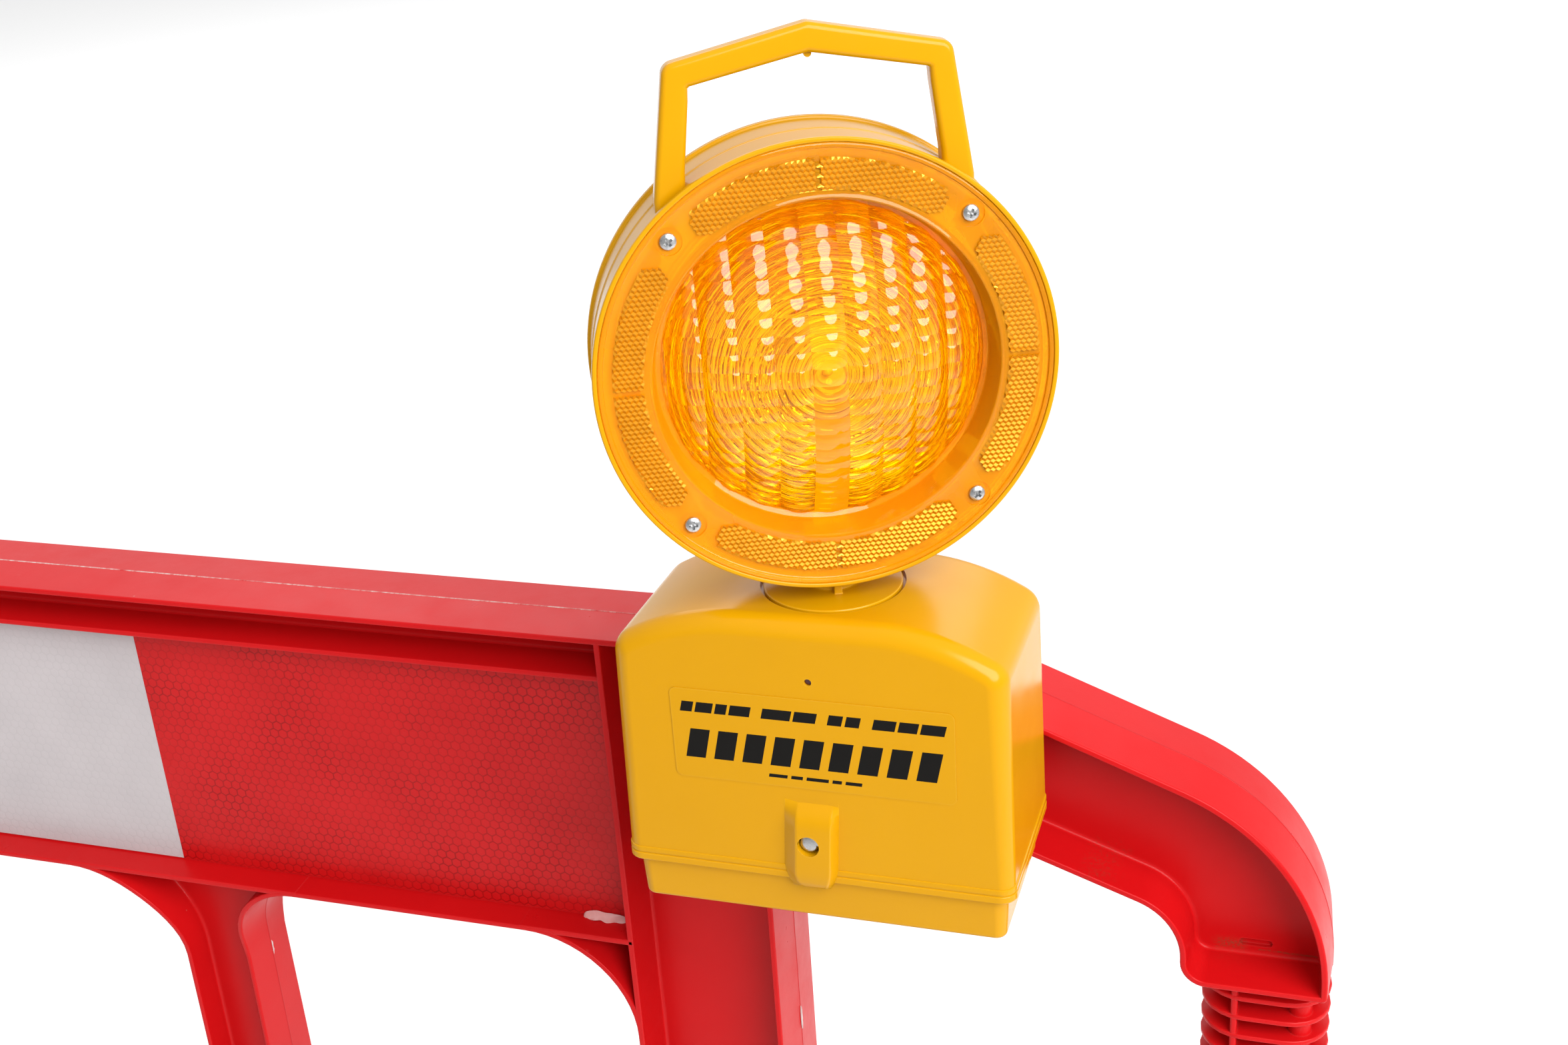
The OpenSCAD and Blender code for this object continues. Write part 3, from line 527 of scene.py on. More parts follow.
def sweep(shape, path, prof, closed=False, mats=None, cap=True, var=None):
    """prof: closed list of (n, y); n along the path's left normal, y along Y. path in X, Z."""
    nn = path_normals(path, closed)
    k = len(prof)
    vs = []
    for s_i, ((px, pz), nv) in enumerate(zip(path, nn)):
        for a, y in (var[s_i] if var else prof):
            vs.append((px + nv.x * a, y, pz + nv.y * a))
    fs, ms = [], []
    cnt = len(path)
    for i in range(cnt if closed else cnt - 1):
        j = (i + 1) % cnt
        for q in range(k):
            w = (q + 1) % k
            fs.append((i * k + q, j * k + q, j * k + w, i * k + w))
            ms.append(mats[q] if mats else 0)
    o = shape.add(vs, fs)
    shape.m[len(shape.m) - len(ms):] = ms
    if cap and not closed:
        shape.f.append(tuple(o + q for q in range(k)))
        shape.f.append(tuple(o + (cnt - 1) * k + q for q in reversed(range(k))))
        shape.m += [0, 0]


def lathe(shape, prof, seg=96, closed=True, mats=None, a0=0.0, a1=360.0):
    """prof: (r, d); the axis is -Y, d is measured towards the front (-Y)."""
    full = abs(a1 - a0) >= 359.9
    cnt = seg if full else seg + 1
    k = len(prof)
    vs = []
    for i in range(cnt):
        t = rad(a0 + (a1 - a0) * i / seg)
        for r, d in prof:
            vs.append((r * math.cos(t), -d, r * math.sin(t)))
    fs, ms = [], []
    for i in range(seg):
        j = (i + 1) % cnt
        for q in range(k if closed else k - 1):
            w = (q + 1) % k
            fs.append((i * k + q, j * k + q, j * k + w, i * k + w))
            ms.append(mats[q] if mats else 0)
    shape.add(vs, fs)
    shape.m[len(shape.m) - len(ms):] = ms


def lathe_z(shape, prof, seg=64, cx=0.0, cy=0.0, closed=True):
    """prof: (r, z) turned about Z."""
    k = len(prof)
    vs = []
    for i in range(seg):
        t = 2 * math.pi * i / seg
        for r, z in prof:
            vs.append((cx + r * math.cos(t), cy + r * math.sin(t), z))
    fs = []
    for i in range(seg):
        j = (i + 1) % seg
        for q in range(k if closed else k - 1):
            w = (q + 1) % k
            fs.append((i * k + q, j * k + q, j * k + w, i * k + w))
    shape.add(vs, fs)


def loft(shape, rings, cap0=True, cap1=True, closed=True, mat=0):
    k = len(rings[0])
    vs = [p for r in rings for p in r]
    fs = []
    for i in range(len(rings) - 1):
        for q in range(k if closed else k - 1):
            w = (q + 1) % k
            fs.append((i * k + q, (i + 1) * k + q, (i + 1) * k + w, i * k + w))
    o = shape.add(vs, fs, mat)
    if cap0:
        shape.f.append(tuple(o + q for q in range(k)))
        shape.m.append(mat)
    if cap1:
        shape.f.append(tuple(o + (len(rings) - 1) * k + q for q in reversed(range(k))))
        shape.m.append(mat)


def rrect(x0, x1, y0, y1, r, seg=6):
    r = max(0.01, r)
    out = []
    for cx, cy, a in ((x1 - r, y1 - r, 0), (x0 + r, y1 - r, 90), (x0 + r, y0 + r, 180), (x1 - r, y0 + r, 270)):
        out += arc(cx, cy, r, a, a + 90, seg)
    return out


def rounded_box(shape, x0, x1, y0, y1, z0, z1, r=1.0, rc=None, seg=3, mat=0):
    """Box with rounded vertical corners rc and rounded top and bottom edges r."""
    rc = r if rc is None else rc
    rings = []
    for k in range(seg + 1):
        t = math.pi / 2 * k / seg
        i = r * (1 - math.sin(t))
        rings.append([(x, y, z0 + r * (1 - math.cos(t))) for x, y in rrect(x0 + i, x1 - i, y0 + i, y1 - i, max(0.05, rc - i))])
    for k in range(seg, -1, -1):
        t = math.pi / 2 * k / seg
        i = r * (1 - math.sin(t))
        rings.append([(x, y, z1 - r * (1 - math.cos(t))) for x, y in rrect(x0 + i, x1 - i, y0 + i, y1 - i, max(0.05, rc - i))])
    loft(shape, rings, mat=mat)


def flat_region(shape, outer, holes, y, mat=0):
    """Flat face in the X-Z plane at y, with holes."""
    polys = [[Vector((a, b, 0)) for a, b in outer]] + [[Vector((a, b, 0)) for a, b in h] for h in holes]
    tris = tessellate_polygon(polys)
    pts = [p for poly in polys for p in poly]
    shape.add([(p.x, y, p.y) for p in pts], [tuple(t) for t in tris], mat)


# ------------------------------------------------------------------ barrier
FD = 26.8
PX0, PX1 = 690.5, 770.0
ENDW, BAR, INW = 237.0, 43.2, 219.7
LX1 = PX0 - 1568.8
LX0 = LX1 - 79.5
WX = []                     # clear windows, right to left
x_ = PX0
for k in range(6):
    wd = ENDW if k in (0, 5) else INW
    WX.append((x_ - wd, x_))
    x_ -= wd + BAR
BARD = 18.0
WEB = 2.2


def half_T(D, te, rf, bead, draft_out=1.35, r=0.95, r2=0.7, seg=4):
    """From the parting line over the outer face, round the free edge, down the inner face to the web."""
    pts = [(-draft_out - bead, 0.0), (-draft_out - bead * 0.6, -0.40), (-draft_out, -0.55)]
    for k in range(seg + 1):
        t = math.pi / 2 * k / seg
        pts.append((r - r * math.cos(t), -(D - r) - r * math.sin(t)))
    for k in range(seg + 1):
        t = math.pi / 2 * k / seg
        pts.append((te - r2 + r2 * math.sin(t), -(D - r2) - r2 * math.cos(t)))
    ni = te + 0.052 * (D - WEB - rf)
    for k in range(seg + 1):
        t = math.pi / 2 * k / seg
        pts.append((ni + rf - rf * math.cos(t), -(WEB + rf) + rf * math.sin(t)))
    return pts


def prof_T(D=FD, te=2.9, rf=1.8, bead=0.22):
    h = half_T(D, te, rf, bead)
    front = h
    back = [(a, -y) for a, y in reversed(h[1:])]
    prof = front + back
    mats = [0] * len(prof)
    mats[0] = mats[1] = mats[-1] = mats[-2] = 1
    return prof, mats


def prof_I(D, t=3.2, rf=1.6, r=0.8, seg=3, draft=0.9):
    half = []
    a = -t / 2 - draft
    for k in range(seg + 1):
        q = math.pi / 2 * k / seg
        half.append((a - rf + rf * math.sin(q), -WEB - rf + rf * math.cos(q)))
    half = [(a - rf + rf * math.sin(math.pi / 2 * k / seg), -WEB - rf + rf * math.cos(math.pi / 2 * k / seg)) for k in range(seg + 1)]
    for k in range(seg + 1):
        q = math.pi / 2 * k / seg
        half.append((-t / 2 + r - r * math.cos(q), -(D - r) - r * math.sin(q)))
    other = [(-n_, y) for n_, y in reversed(half)]
    front = half + other
    back = [(n_, -y) for n_, y in reversed(front)]
    return front + back


perim = ([(770, 66)] + arc(795, 905, 25, 180, 90, 10) + arc(823.9, 850, 80, 90, 69.7, 6) + arc(935, 862.2, 30, 69.7, 0, 12)
         + arc(977, 860.2, 12, 180, 270, 8))
perim += arc(1027.7, 850.7, 2.5, 270, 360, 3) + arc(926, 854.4, 104.2, 0.5, 68.2, 26) + arc(823.9, 900, 100, 68.2, 90, 8)
tail = round_path([(700, 1000, 0), (LX0, 1000, 7), (LX0, 60, 4), (LX1, 60, 4), (LX1, 100, 3), (PX0, 100, 3), (PX0, 60, 4), (770, 60, 4), (770, 120, 0)], closed=False)
perim = perim[1:] + tail[1:-1]
wins = []
for k, (x0, x1) in enumerate(WX):
    w = round_path([(x0, 275, 30), (x0, 330, 0), (x0, 318, 0), (x0, 306, 0), (x0, 772, 0), (x0, 779, 0), (x0, 825.3, 42), (x1, 825.3, 58), (x1, 764, 0), (x1, 750, 0), (x1, 330, 0), (x1, 318, 0), (x1, 306, 0), (x1, 275, 30)], seg=14)
    w = [q for i_, q in enumerate(w) if (Vector(q) - Vector(w[i_ - 1])).length > 0.05]
    wins.append(w)   # clockwise with X right and Z up: left normal points away from the window


def inset(path, d):
    nn = path_normals(path, True)
    return [(p[0] + n_.x * d, p[1] + n_.y * d) for p, n_ in zip(path, nn)]


sh = Shape()
T, TM = prof_T()
sweep(sh, perim, T, closed=True, mats=TM)
for k, w in enumerate(wins):
    def depth_at(x, z, k=k):
        # the bars are shallower than the posts and the boards
        near_post = (k == 0 and x > WX[0][1] - 70) or (k == 5 and x < WX[5][0] + 70)
        if near_post:
            return FD
        t = max(0.0, min(1.0, (z - 766.0) / (824.0 - 766.0))) if z > 500 else max(0.0, min(1.0, (332.0 - z) / (332.0 - 277.0)))
        return BARD + (FD - BARD) * t * t * (3 - 2 * t)
    sweep(sh, w, T, closed=True, mats=TM, var=[prof_T(depth_at(x, z))[0] for x, z in w])
I1 = prof_I(FD - 0.05)
# straight flanges where no window edge runs
def run(p0, p1, prof=I1, off=1.7):
    sweep(sh, [p0, p1], prof)
zb = 825.3 + 1.6
run((PX0 - 60, zb), (PX0 + 3, zb))
run((LX1 - 3, zb), (LX1 + 44, zb))
zt = 275 - 1.6
run((PX0 - 31, zt), (PX0 + 3, zt))
run((LX1 - 3, zt), (LX1 + 31, zt))
for k in range(5):
    xl, xr = WX[k + 1][1], WX[k][0]
    run((xl - 60, zb), (xr + 44, zb))
    run((xl - 31, zt), (xr + 31, zt))
run((PX0 + 1.6, 763), (PX0 + 1.6, 998.6))
run((LX1 - 1.6, 798), (LX1 - 1.6, 998.6))
run((PX0 + 1.6, 101.5), (PX0 + 1.6, 307))
run((LX1 - 1.6, 101.5), (LX1 - 1.6, 307))
run((768.4, 903), (768.4, 998.6))
I2 = prof_I(24.1, t=2.9)
run((LX1 - 1, 977.1), (PX0 + 1, 977.1), I2)
I3 = prof_I(20.8, t=2.8)
for k in range(5):
    xc = WX[k][0] - BAR / 2
    run((xc, 101), (xc, 274), I3)
run((LX1 - 1, 187.5), (PX0 + 1, 187.5), I3)
# web
outer = inset(perim, 1.2)
slot_hole = [(x, z) for x, z in rrect(989.6, 1004.6, 857.0, 860.6, 1.79, 5)]
holes = [inset(w, 1.2) for w in wins]
for y in (-WEB, WEB):
    flat_region(sh, outer, holes + [slot_hole], y)
# the shallow slot in the arm's foot
loft(sh, [[(x, -WEB, z) for x, z in slot_hole], [(x, WEB, z) for x, z in slot_hole]], cap0=False, cap1=False)
flat_region(sh, slot_hole, [], -0.3)
flat_region(sh, slot_hole, [], 0.3)
# boss round the lamp bolt, both faces
bs = Shape()
lathe(bs, [(4.3, 4.2), (12.6, 4.2), (13.4, 3.9), (13.9, 3.2), (14.6, 2.0), (4.3, 2.0)], 48)
lathe(bs, [(4.3, -4.2), (12.6, -4.2), (13.4, -3.9), (13.9, -3.2), (14.6, -2.0), (4.3, -2.0)], 48)
sh.merge(bs, Matrix.Translation((819.9, 0, 959.5)))
# spigot
SX = 1002.65
def stadium(w, d, seg=12):
    r = d / 2
    pts = []
    for cx, a in ((w / 2 - r, -90), (-w / 2 + r, 90)):
        pts += [(cx + r * math.cos(rad(a + 180 * i / seg)), r * math.sin(rad(a + 180 * i / seg))) for i in range(seg + 1)]
    return pts
def plate(cx, z0, z1, w, d, r=0.8, seg=3):
    rings = []
    for z, sgn, order in ((z0, 1, range(seg + 1)), (z1, -1, range(seg, -1, -1))):
        for k in order:
            t = math.pi / 2 * k / seg
            i = r * (1 - math.sin(t))
            rings.append([(cx + x, y, z + sgn * r * (1 - math.cos(t))) for x, y in stadium(w - 2 * i, d - 2 * i)])
    loft(sh, rings)
for i in range(9):
    plate(SX, 837.8 - 10.8 * i, 840.4 - 10.8 * i, 58.7, 40.0)
plate(SX, 738.2, 742.2, 54.0, 35.0, 1.2)
rounded_box(sh, SX - 23.5, SX + 23.5, -2.2, 2.2, 738.6, 850, 0.3)
for (xa, xb, d) in ((987.9, 991.1, 19.2),):
    rr = []
    for z in (739.0, 849.5):
        rr.append([(x, y, z) for x, y in rrect(xa, xb, -d, d, 1.2, 4)])
    loft(sh, rr)
for cy in (0.0,):
    cyl = Shape()
    lathe_z(cyl, [(0.01, 738.4), (5.4, 738.4), (5.2, 848), (0.01, 848)], 32)
    sh.merge(cyl, Matrix.Translation((1018.8, -9.5, 0)))
    sh.merge(cyl, Matrix.Translation((1018.8, 9.5, 0)))
# link socket at the other end
KX = SX - 2000.0
def ring_plate(w0, d0, w1, d1, z0, z1, r=1.0):
    rings = []
    outer_ = []
    for o_, z in [(0.0, z0 + r), (r * 0.29, z0 + r * 0.29), (r, z0)][::-1] + [(0.0, z0 + r), (0.0, z1 - r), (r * 0.29, z1 - r * 0.29), (r, z1)]:
        outer_.append([(KX + x, y, z) for x, y in stadium(w0 - 2 * o_, d0 - 2 * o_, 16)])
    inner_ = []
    for o_, z in [(r, z1), (r * 0.29, z1 - r * 0.29), (0.0, z1 - r), (0.0, z0 + r), (r * 0.29, z0 + r * 0.29), (r, z0)]:
        inner_.append([(KX + x, y, z) for x, y in stadium(w1 + 2 * o_, d1 + 2 * o_, 16)])
    loft(sh, outer_ + inner_ + [outer_[0]], cap0=False, cap1=False)
ring_plate(69.3, 52.0, 61.3, 44.0, 816, 846)
rounded_box(sh, -970.5, LX0 + 2.5, -20, 20, 816, 846, 1.2)
rr = []
for y in (-2.2, 2.2):
    rr.append([(LX0 + 1, y, 818), (LX0 + 1, y, 777), (-966, y, 818)])
loft(sh, rr)
red_flash = M["red"].copy()
red_flash.name = "red_parting_line"
n = N(red_flash.node_tree)
bs_ = [x for x in n.nt.nodes if x.type == "BSDF_PRINCIPLED"][0]
old = bs_.inputs["Base Color"].links[0].from_socket
x_, y_, z_ = n.xyz()
topm = n.ramp(z_, [(0.995, 0.0), (0.9985, 1.0)])
brk = n.ramp(n.noise(38, 5, 0.75, stretch=(1.0, 0.1, 0.1)), [(0.36, 0.0), (0.52, 1.0)])
brk2 = n.ramp(n.noise(300, 4, 0.8, stretch=(1.0, 0.4, 0.4)), [(0.35, 0.15), (0.6, 1.0)])
msk = n.math("MULTIPLY", n.math("MULTIPLY", topm, brk), n.math("MULTIPLY", brk2, 0.85))
dark = n.mix(0.25, old, (0.36, 0.004, 0.006))
n.link(n.mix(msk, dark, (0.86, 0.74, 0.70)), bs_.inputs["Base Color"])
barrier_ob = build("barrier_moulding", sh, [M["red"], red_flash], "barrier",
                   ("barrier_frame", "link_arm", "link_socket"), sharp=28)

# chips of white flash on the parting lines: thin flakes
def flake(name, pts, y_axis, mat, body="barrier", thick=0.25):
    s_ = Shape()
    loft(s_, [[tuple(p) for p in pts], [tuple(Vector(p) + Vector(y_axis) * thick) for p in pts]])
    return build(name, s_, mat, body, sharp=40)
chip_mat = plain("stress_white", (0.86, 0.74, 0.72), 0.5)
rng = random.Random(7)
def ragged(z0, z1, half, n_=9):
    """Ragged lens-shaped outline along Z, in (y, z)."""
    a, b = [], []
    for i in range(n_ + 1):
        t = i / n_
        w = half * (math.sin(math.pi * t) ** 0.5) * (0.6 + 0.5 * rng.random())
        a.append((w, z0 + (z1 - z0) * t))
        b.append((-w * 0.7, z0 + (z1 - z0) * t))
    return a + b[::-1][1:-1]
flake("parting_chip_post", [(772.1, y - 0.4, z) for y, z in ragged(767.0, 781.5, 1.0)], (-1, 0, 0), chip_mat, thick=0.6)
flake("parting_chip_bar", [(WX[0][0] + 1.35, y + 0.4, z) for y, z in ragged(761.0, 771.5, 1.5)], (-1, 0, 0), chip_mat, thick=0.6)
# torn edge of clear film in the board's lower corner
tf_ = Shape()
nu, nv = 26, 5
grid = []
for i in range(nu + 1):
    for j in range(nv + 1):
        t, u_ = i / nu, j / nv
        env = 0.35 + 0.65 * math.sin(math.pi * min(1.0, t * 1.15)) ** 0.5
        xx = 661.0 + 27.0 * t
        zz = 829.0 + (4.2 * env) * (1 - u_) + 0.5 * math.sin(9 * t + 5 * u_) * env
        yy = -12.1 - 2.6 * u_ * env - 0.9 * abs(math.sin(11 * t + 2.2 * u_)) * env * (0.4 + u_)
        grid.append((xx, yy, zz))
fs_ = [(i * (nv + 1) + j, (i + 1) * (nv + 1) + j, (i + 1) * (nv + 1) + j + 1, i * (nv + 1) + j + 1) for i in range(nu) for j in range(nv)]
tf_.add(grid, fs_)
film_mat = plain("torn_film", (0.95, 0.42, 0.40), 0.10, metallic=0.0, scale=700, bump=0.3, coat=1.0)
build("torn_film_edge", tf_, film_mat, "barrier", (), sharp=60, weighted=False)


# ------------------------------------------------------------------ lamp: battery box
HX, HY, HZ = 823.5, -68.4, 1159.7
TL = Matrix.Translation((HX, HY, HZ))
TH = TL @ Matrix.Rotation(rad(25.1), 4, 'Z')
TR_ = TH @ Matrix.Rotation(math.pi, 4, 'Z')
BX, BH, BD = -3.0, 84.85, 40.3
SEAM, TOP = -219.6, -98.2
BOLT = (-3.6, -200.2)


def cut(ob, cutters, union=False):
    """Boolean with closed scratch solids, baked into the mesh; the scratch solids are removed."""
    tmp = []
    for s_ in cutters:
        me = bpy.data.meshes.new("scratch")
        me.from_pydata([(x * MM, y * MM, z * MM) for x, y, z in s_.v], [], s_.f)
        bm = bmesh.new()
        bm.from_mesh(me)
        bmesh.ops.remove_doubles(bm, verts=bm.verts, dist=1e-7)
        bmesh.ops.recalc_face_normals(bm, faces=bm.faces)
        bm.to_mesh(me)
        bm.free()
        c = bpy.data.objects.new("scratch", me)
        bpy.context.scene.collection.objects.link(c)
        tmp.append(c)
        md = ob.modifiers.new("cut", "BOOLEAN")
        md.operation = 'UNION' if union else 'DIFFERENCE'
        md.solver = 'EXACT'
        md.object = c
    keep = [m_ for m_ in ob.modifiers if m_.type != "BOOLEAN"]
    state = [(m_.name, m_.type) for m_ in keep]
    for m_ in keep:
        ob.modifiers.remove(m_)
    dg = bpy.context.evaluated_depsgraph_get()
    dg.update()
    me = bpy.data.meshes.new_from_object(ob.evaluated_get(dg))
    ob.modifiers.clear()
    old_ = ob.data
    ob.data = me
    me.name = old_.name
    bpy.data.meshes.remove(old_)
    for c in tmp:
        d_ = c.data
        bpy.data.objects.remove(c)
        bpy.data.meshes.remove(d_)
    bm = bmesh.new()
    bm.from_mesh(me)
    bmesh.ops.dissolve_degenerate(bm, edges=bm.edges, dist=1e-7)
    bm.to_mesh(me)
    bm.free()
    me.shade_smooth()
    me.set_sharp_from_angle(angle=rad(34))
    if any(t == "WEIGHTED_NORMAL" for _, t in state):
        w = ob.modifiers.new("shade", "WEIGHTED_NORMAL")
        w.keep_sharp = True
    return ob


def moved(shape, tf):
    s_ = Shape()
    s_.merge(shape, tf)
    return s_


def cyl_y(x, z, r, y0, y1, seg=40):
    s_ = Shape()
    loft(s_, [[(x + r * math.cos(2 * math.pi * i / seg), y0, z + r * math.sin(2 * math.pi * i / seg)) for i in range(seg)],
              [(x + r * math.cos(2 * math.pi * i / seg), y1, z + r * math.sin(2 * math.pi * i / seg)) for i in range(seg)]])
    return s_


def cyl_z(x, y, r, z0, z1, seg=64):
    s_ = Shape()
    loft(s_, [[(x + r * math.cos(2 * math.pi * i / seg), y + r * math.sin(2 * math.pi * i / seg), z) for i in range(seg)] for z in (z0, z1)])
    return s_


def box_solid(g, zb):
    left = [(BX - BH + g, zb), (BX - BH + g, SEAM + 1.0), (BX - BH + 0.7 + g, -170.0)]
    arch = arc(-31, TOP - 100, 100 - g, 90 + 29.3, 90, 10) + arc(25, TOP - 100, 100 - g, 90, 90 - 29.3, 10)
    pts = ([(x, z, 0) for x, z in left] + [(BX - BH + 1.6 + g, -114.9 - g * 0.6, 10.4 - g)]
           + [(x, z, 0) for x, z in arch] + [(BX + BH - 1.6 - g, -114.9 - g * 0.6, 10.4 - g)]
           + [(BX + BH - 0.7 - g, -170.0, 0), (BX + BH - g, SEAM + 1.0, 0), (BX + BH - g, zb, 0)])
    path = round_path(pts, closed=False, seg=7)
    nn = path_normals(path, False)
    rings = []
    def rr_(z):
        return max(1.5, 6.5 + 1.9 * min(1.0, max(0.0, (z - SEAM) / 95.0)) - g)
    steps = 7
    seq = [(-1, k) for k in range(steps + 1)] + [(1, k) for k in range(steps, -1, -1)]
    for sgn, k in seq:
        t = math.pi / 2 * k / steps
        ring = []
        for (x, z), nv in zip(path, nn):
            r = rr_(z)
            # path runs clockwise seen from the front, so inward is the right-hand side
            i = r * (1 - math.sin(t))
            ring.append((x - nv.x * i, sgn * (BD - g - r * (1 - math.cos(t))), z - nv.y * i))
        rings.append(ring)
    s_ = Shape()
    loft(s_, rings)
    return s_


cover_s = box_solid(0, SEAM)
cover_ob = build("cover_moulding", cover_s, M["yellow"], "barrier", ("battery_cover", "battery_tray"), tf=None, weld=0.001)
cut(cover_ob, [box_solid(2.6, SEAM - 6), cyl_z(0, 0, 30.4, TOP - 1.7, TOP + 12, 96), cyl_z(0, 0, 10.57, -130, -90, 48),
               cyl_y(BOLT[0], BOLT[1], 5.2, -60, 60), cyl_y(-0.7, -124.6, 1.55, -60, -20, 24)])
extra = Shape()


def lip(offs, x0, x1, y0, y1, r):
    """Closed band round a rounded rectangle; offs: (offset, z) going round the section."""
    rings = [[(x, y, z) for x, y in rrect(x0 - o, x1 + o, y0 - o, y1 + o, max(0.5, r + o), 6)] for o, z in offs]
    loft(extra, rings + [rings[0]], cap0=False, cap1=False)


x0, x1 = BX - BH, BX + BH
lip([(-0.2, -213.2), (0.25, -213.35), (0.42, -213.7), (0.42, -215.6), (0.28, -215.85), (-0.15, -216.0), (-0.15, -216.45), (0.32, -216.6), (0.52, -216.85),
     (0.52, -219.4), (0.3, -219.7), (-2.4, -219.7), (-2.4, -219.0), (-0.6, -213.6)], x0, x1, -BD, BD, 6.5)
# tray
tr = Shape()
rings = []
for k in range(5):
    t = math.pi / 2 * k / 4
    i = 2.2 * (1 - math.sin(t)) + 1.1
    rings.append([(x, y, -240.9 + 2.2 * (1 - math.cos(t))) for x, y in rrect(BX - 81.6 + i, BX + 81.6 - i, -37.9 + i, 37.9 - i, max(0.6, 6 - i), 6)])
for z, i in ((-222.0, 0.15), (-219.9, 0.05), (-219.6, 0.35), (-219.6, 1.2), (-208.6, 1.3), (-208.3, 1.6), (-208.3, 3.1)):
    rings.append([(x, y, z) for x, y in rrect(BX - 81.6 + i, BX + 81.6 - i, -37.9 + i, 37.9 - i, 6 - i, 6)])
for z in (-236.5, -238.0):
    i = 3.2 if z > -237 else 4.4
    rings.append([(x, y, z) for x, y in rrect(BX - 81.6 + i, BX + 81.6 - i, -37.9 + i, 37.9 - i, 6 - i if i < 5 else 1.5, 6)])
loft(tr, rings)
extra.merge(tr)
extra_ob = build("cover_lip_and_tray", extra, M["yellow"], "barrier", (), weld=0.0005, sharp=30)

# clamp boss on the front face
bs = Shape()
rings = []
lev = [(-180.6, -0.6), (-182.4, 0.5), (-184.4, 2.1), (-186.6, 3.5), (-189.2, 4.4), (-192.5, 4.75), (-200, 4.8), (-209, 4.8), (-214.5, 4.75), (-218.2, 4.3), (-220.6, 3.4), (-222.2, 2.0), (-223.0, 0.4)]
for z, dpt in lev:
    f = (z + 181) / -41.0
    xl, xr = -14.0 - 2.5 * f, 9.5 - 2.5 * f
    if z < -214:
        k = (-214 - z) / 9.0
        xl, xr = xl + 4.2 * k * k, xr - 3.2 * k * k
    y = -BD - dpt
    fl, fr = 6.3, 2.7
    m1, m2 = xl + fl, xr - fr
    ring = [(xl, -BD + 8, z), (xl, -BD - 0.1 + 0.4 * 0, z), (m1 - 0.9, y + dpt * 0.10, z), (m1 - 0.2, y + 0.12, z), (m1 + 0.8, y, z), (m2 - 0.7, y, z), (m2 + 0.15, y + 0.14, z), (m2 + 0.6, y + dpt * 0.16, z),
            (xr, -BD - 0.1, z), (xr, -BD + 8, z)]
    rings.append(ring)
loft(bs, rings)
boss_ob = build("clamp_boss", bs, M["yellow"], "barrier", (), weld=0.0005, sharp=26)
cut(boss_ob, [cyl_y(BOLT[0], BOLT[1], 4.75, -60, -20, 48)])
for ob in (cover_ob, extra_ob, boss_ob):
    ob.data.transform(Matrix.Translation((HX * MM, HY * MM, HZ * MM)))

# threaded stud end
st = Shape()
rings = []
turns, pit, seg = 6, 1.25, 24
cnt = turns * seg
for i in range(cnt + 1):
    pass
prof_y = []
y = -43.4
a = []
for k in range(turns * 2 + 1):
    a.append((3.15 if k % 2 else 3.95, y + k * pit / 2))
lath = [(0.01, -43.5), (2.2, -43.5), (3.1, -43.3)] + a[0:] + [(3.9, 30.0), (0.01, 30.0)]
for i in range(seg * 2):
    t = 2 * math.pi * i / (seg * 2)
    ring = [(BOLT[0] + r * math.cos(t), yy + (pit * i / (seg * 2) if 2 < q < len(lath) - 2 else 0), BOLT[1] + r * math.sin(t)) for q, (r, yy) in enumerate(lath)]
    rings.append(ring)
k = len(lath)
vs = [p for r in rings for p in r]
fs = []
for i in range(seg * 2):
    j = (i + 1) % (seg * 2)
    for q in range(k - 1):
        fs.append((i * k + q, j * k + q, j * k + q + 1, i * k + q + 1))
st.add(vs, fs)
hexr = []
for y, r in ((74.0, 7.2), (74.3, 7.5), (78.7, 7.5), (79.3, 6.9)):
    hexr.append([(BOLT[0] + r * math.cos(rad(60 * i)), y, BOLT[1] + r * math.sin(rad(60 * i))) for i in range(6)])
loft(st, hexr)
loft(st, [[(BOLT[0] + 4 * math.cos(rad(15 * i)), y, BOLT[1] + 4 * math.sin(rad(15 * i))) for i in range(24)] for y in (29.0, 74.5)])
build("clamp_stud", st, M["steel"], "barrier", ("clamp_bolt",), tf=TL, sharp=30)

# ------------------------------------------------------------------ label marks (generic bars only)
ink = plain("label_ink", (0.008, 0.007, 0.006), 0.5, bump=0.03)
[x for x in ink.node_tree.nodes if x.type == "BSDF_PRINCIPLED"][0].inputs["Specular IOR Level"].default_value = 0.12
lb = Shape()
LY = -BD - 0.36
def mark(x0, x1, z0, z1, slant=0.0):
    o = [(x0, LY, z0), (x1, LY, z0), (x1 + slant, LY, z1), (x0 + slant, LY, z1)]
    i_ = [(a_, LY + 0.03, c) for a_, b_, c in o]
    loft(lb, [i_, o])
x = -57.0
for w_, g_ in ((5.2, 1.2), (7.4, 1.2), (5.0, 1.2), (9.0, 5.0), (12.4, 1.2), (9.6, 5.0), (6.0, 1.4), (6.0, 5.4), (9.4, 1.2), (8.0, 1.2), (10.0, 1.2)):
    mark(x, x + w_, -143.2, -138.4, 1.2)
    x += w_ + g_
for i in range(9):
    x = -56.0 + i * 12.35
    mark(x, x + 8.6, -164.9, -151.2, 3.0)
x = -20.0
for w_ in (8.0, 5.0, 9.5, 4.0, 7.0):
    mark(x, x + w_, -170.6, -169.0, 0.3)
    x += w_ + 1.6
build("label_marks", lb, ink, "barrier", (), tf=TL, weighted=False)

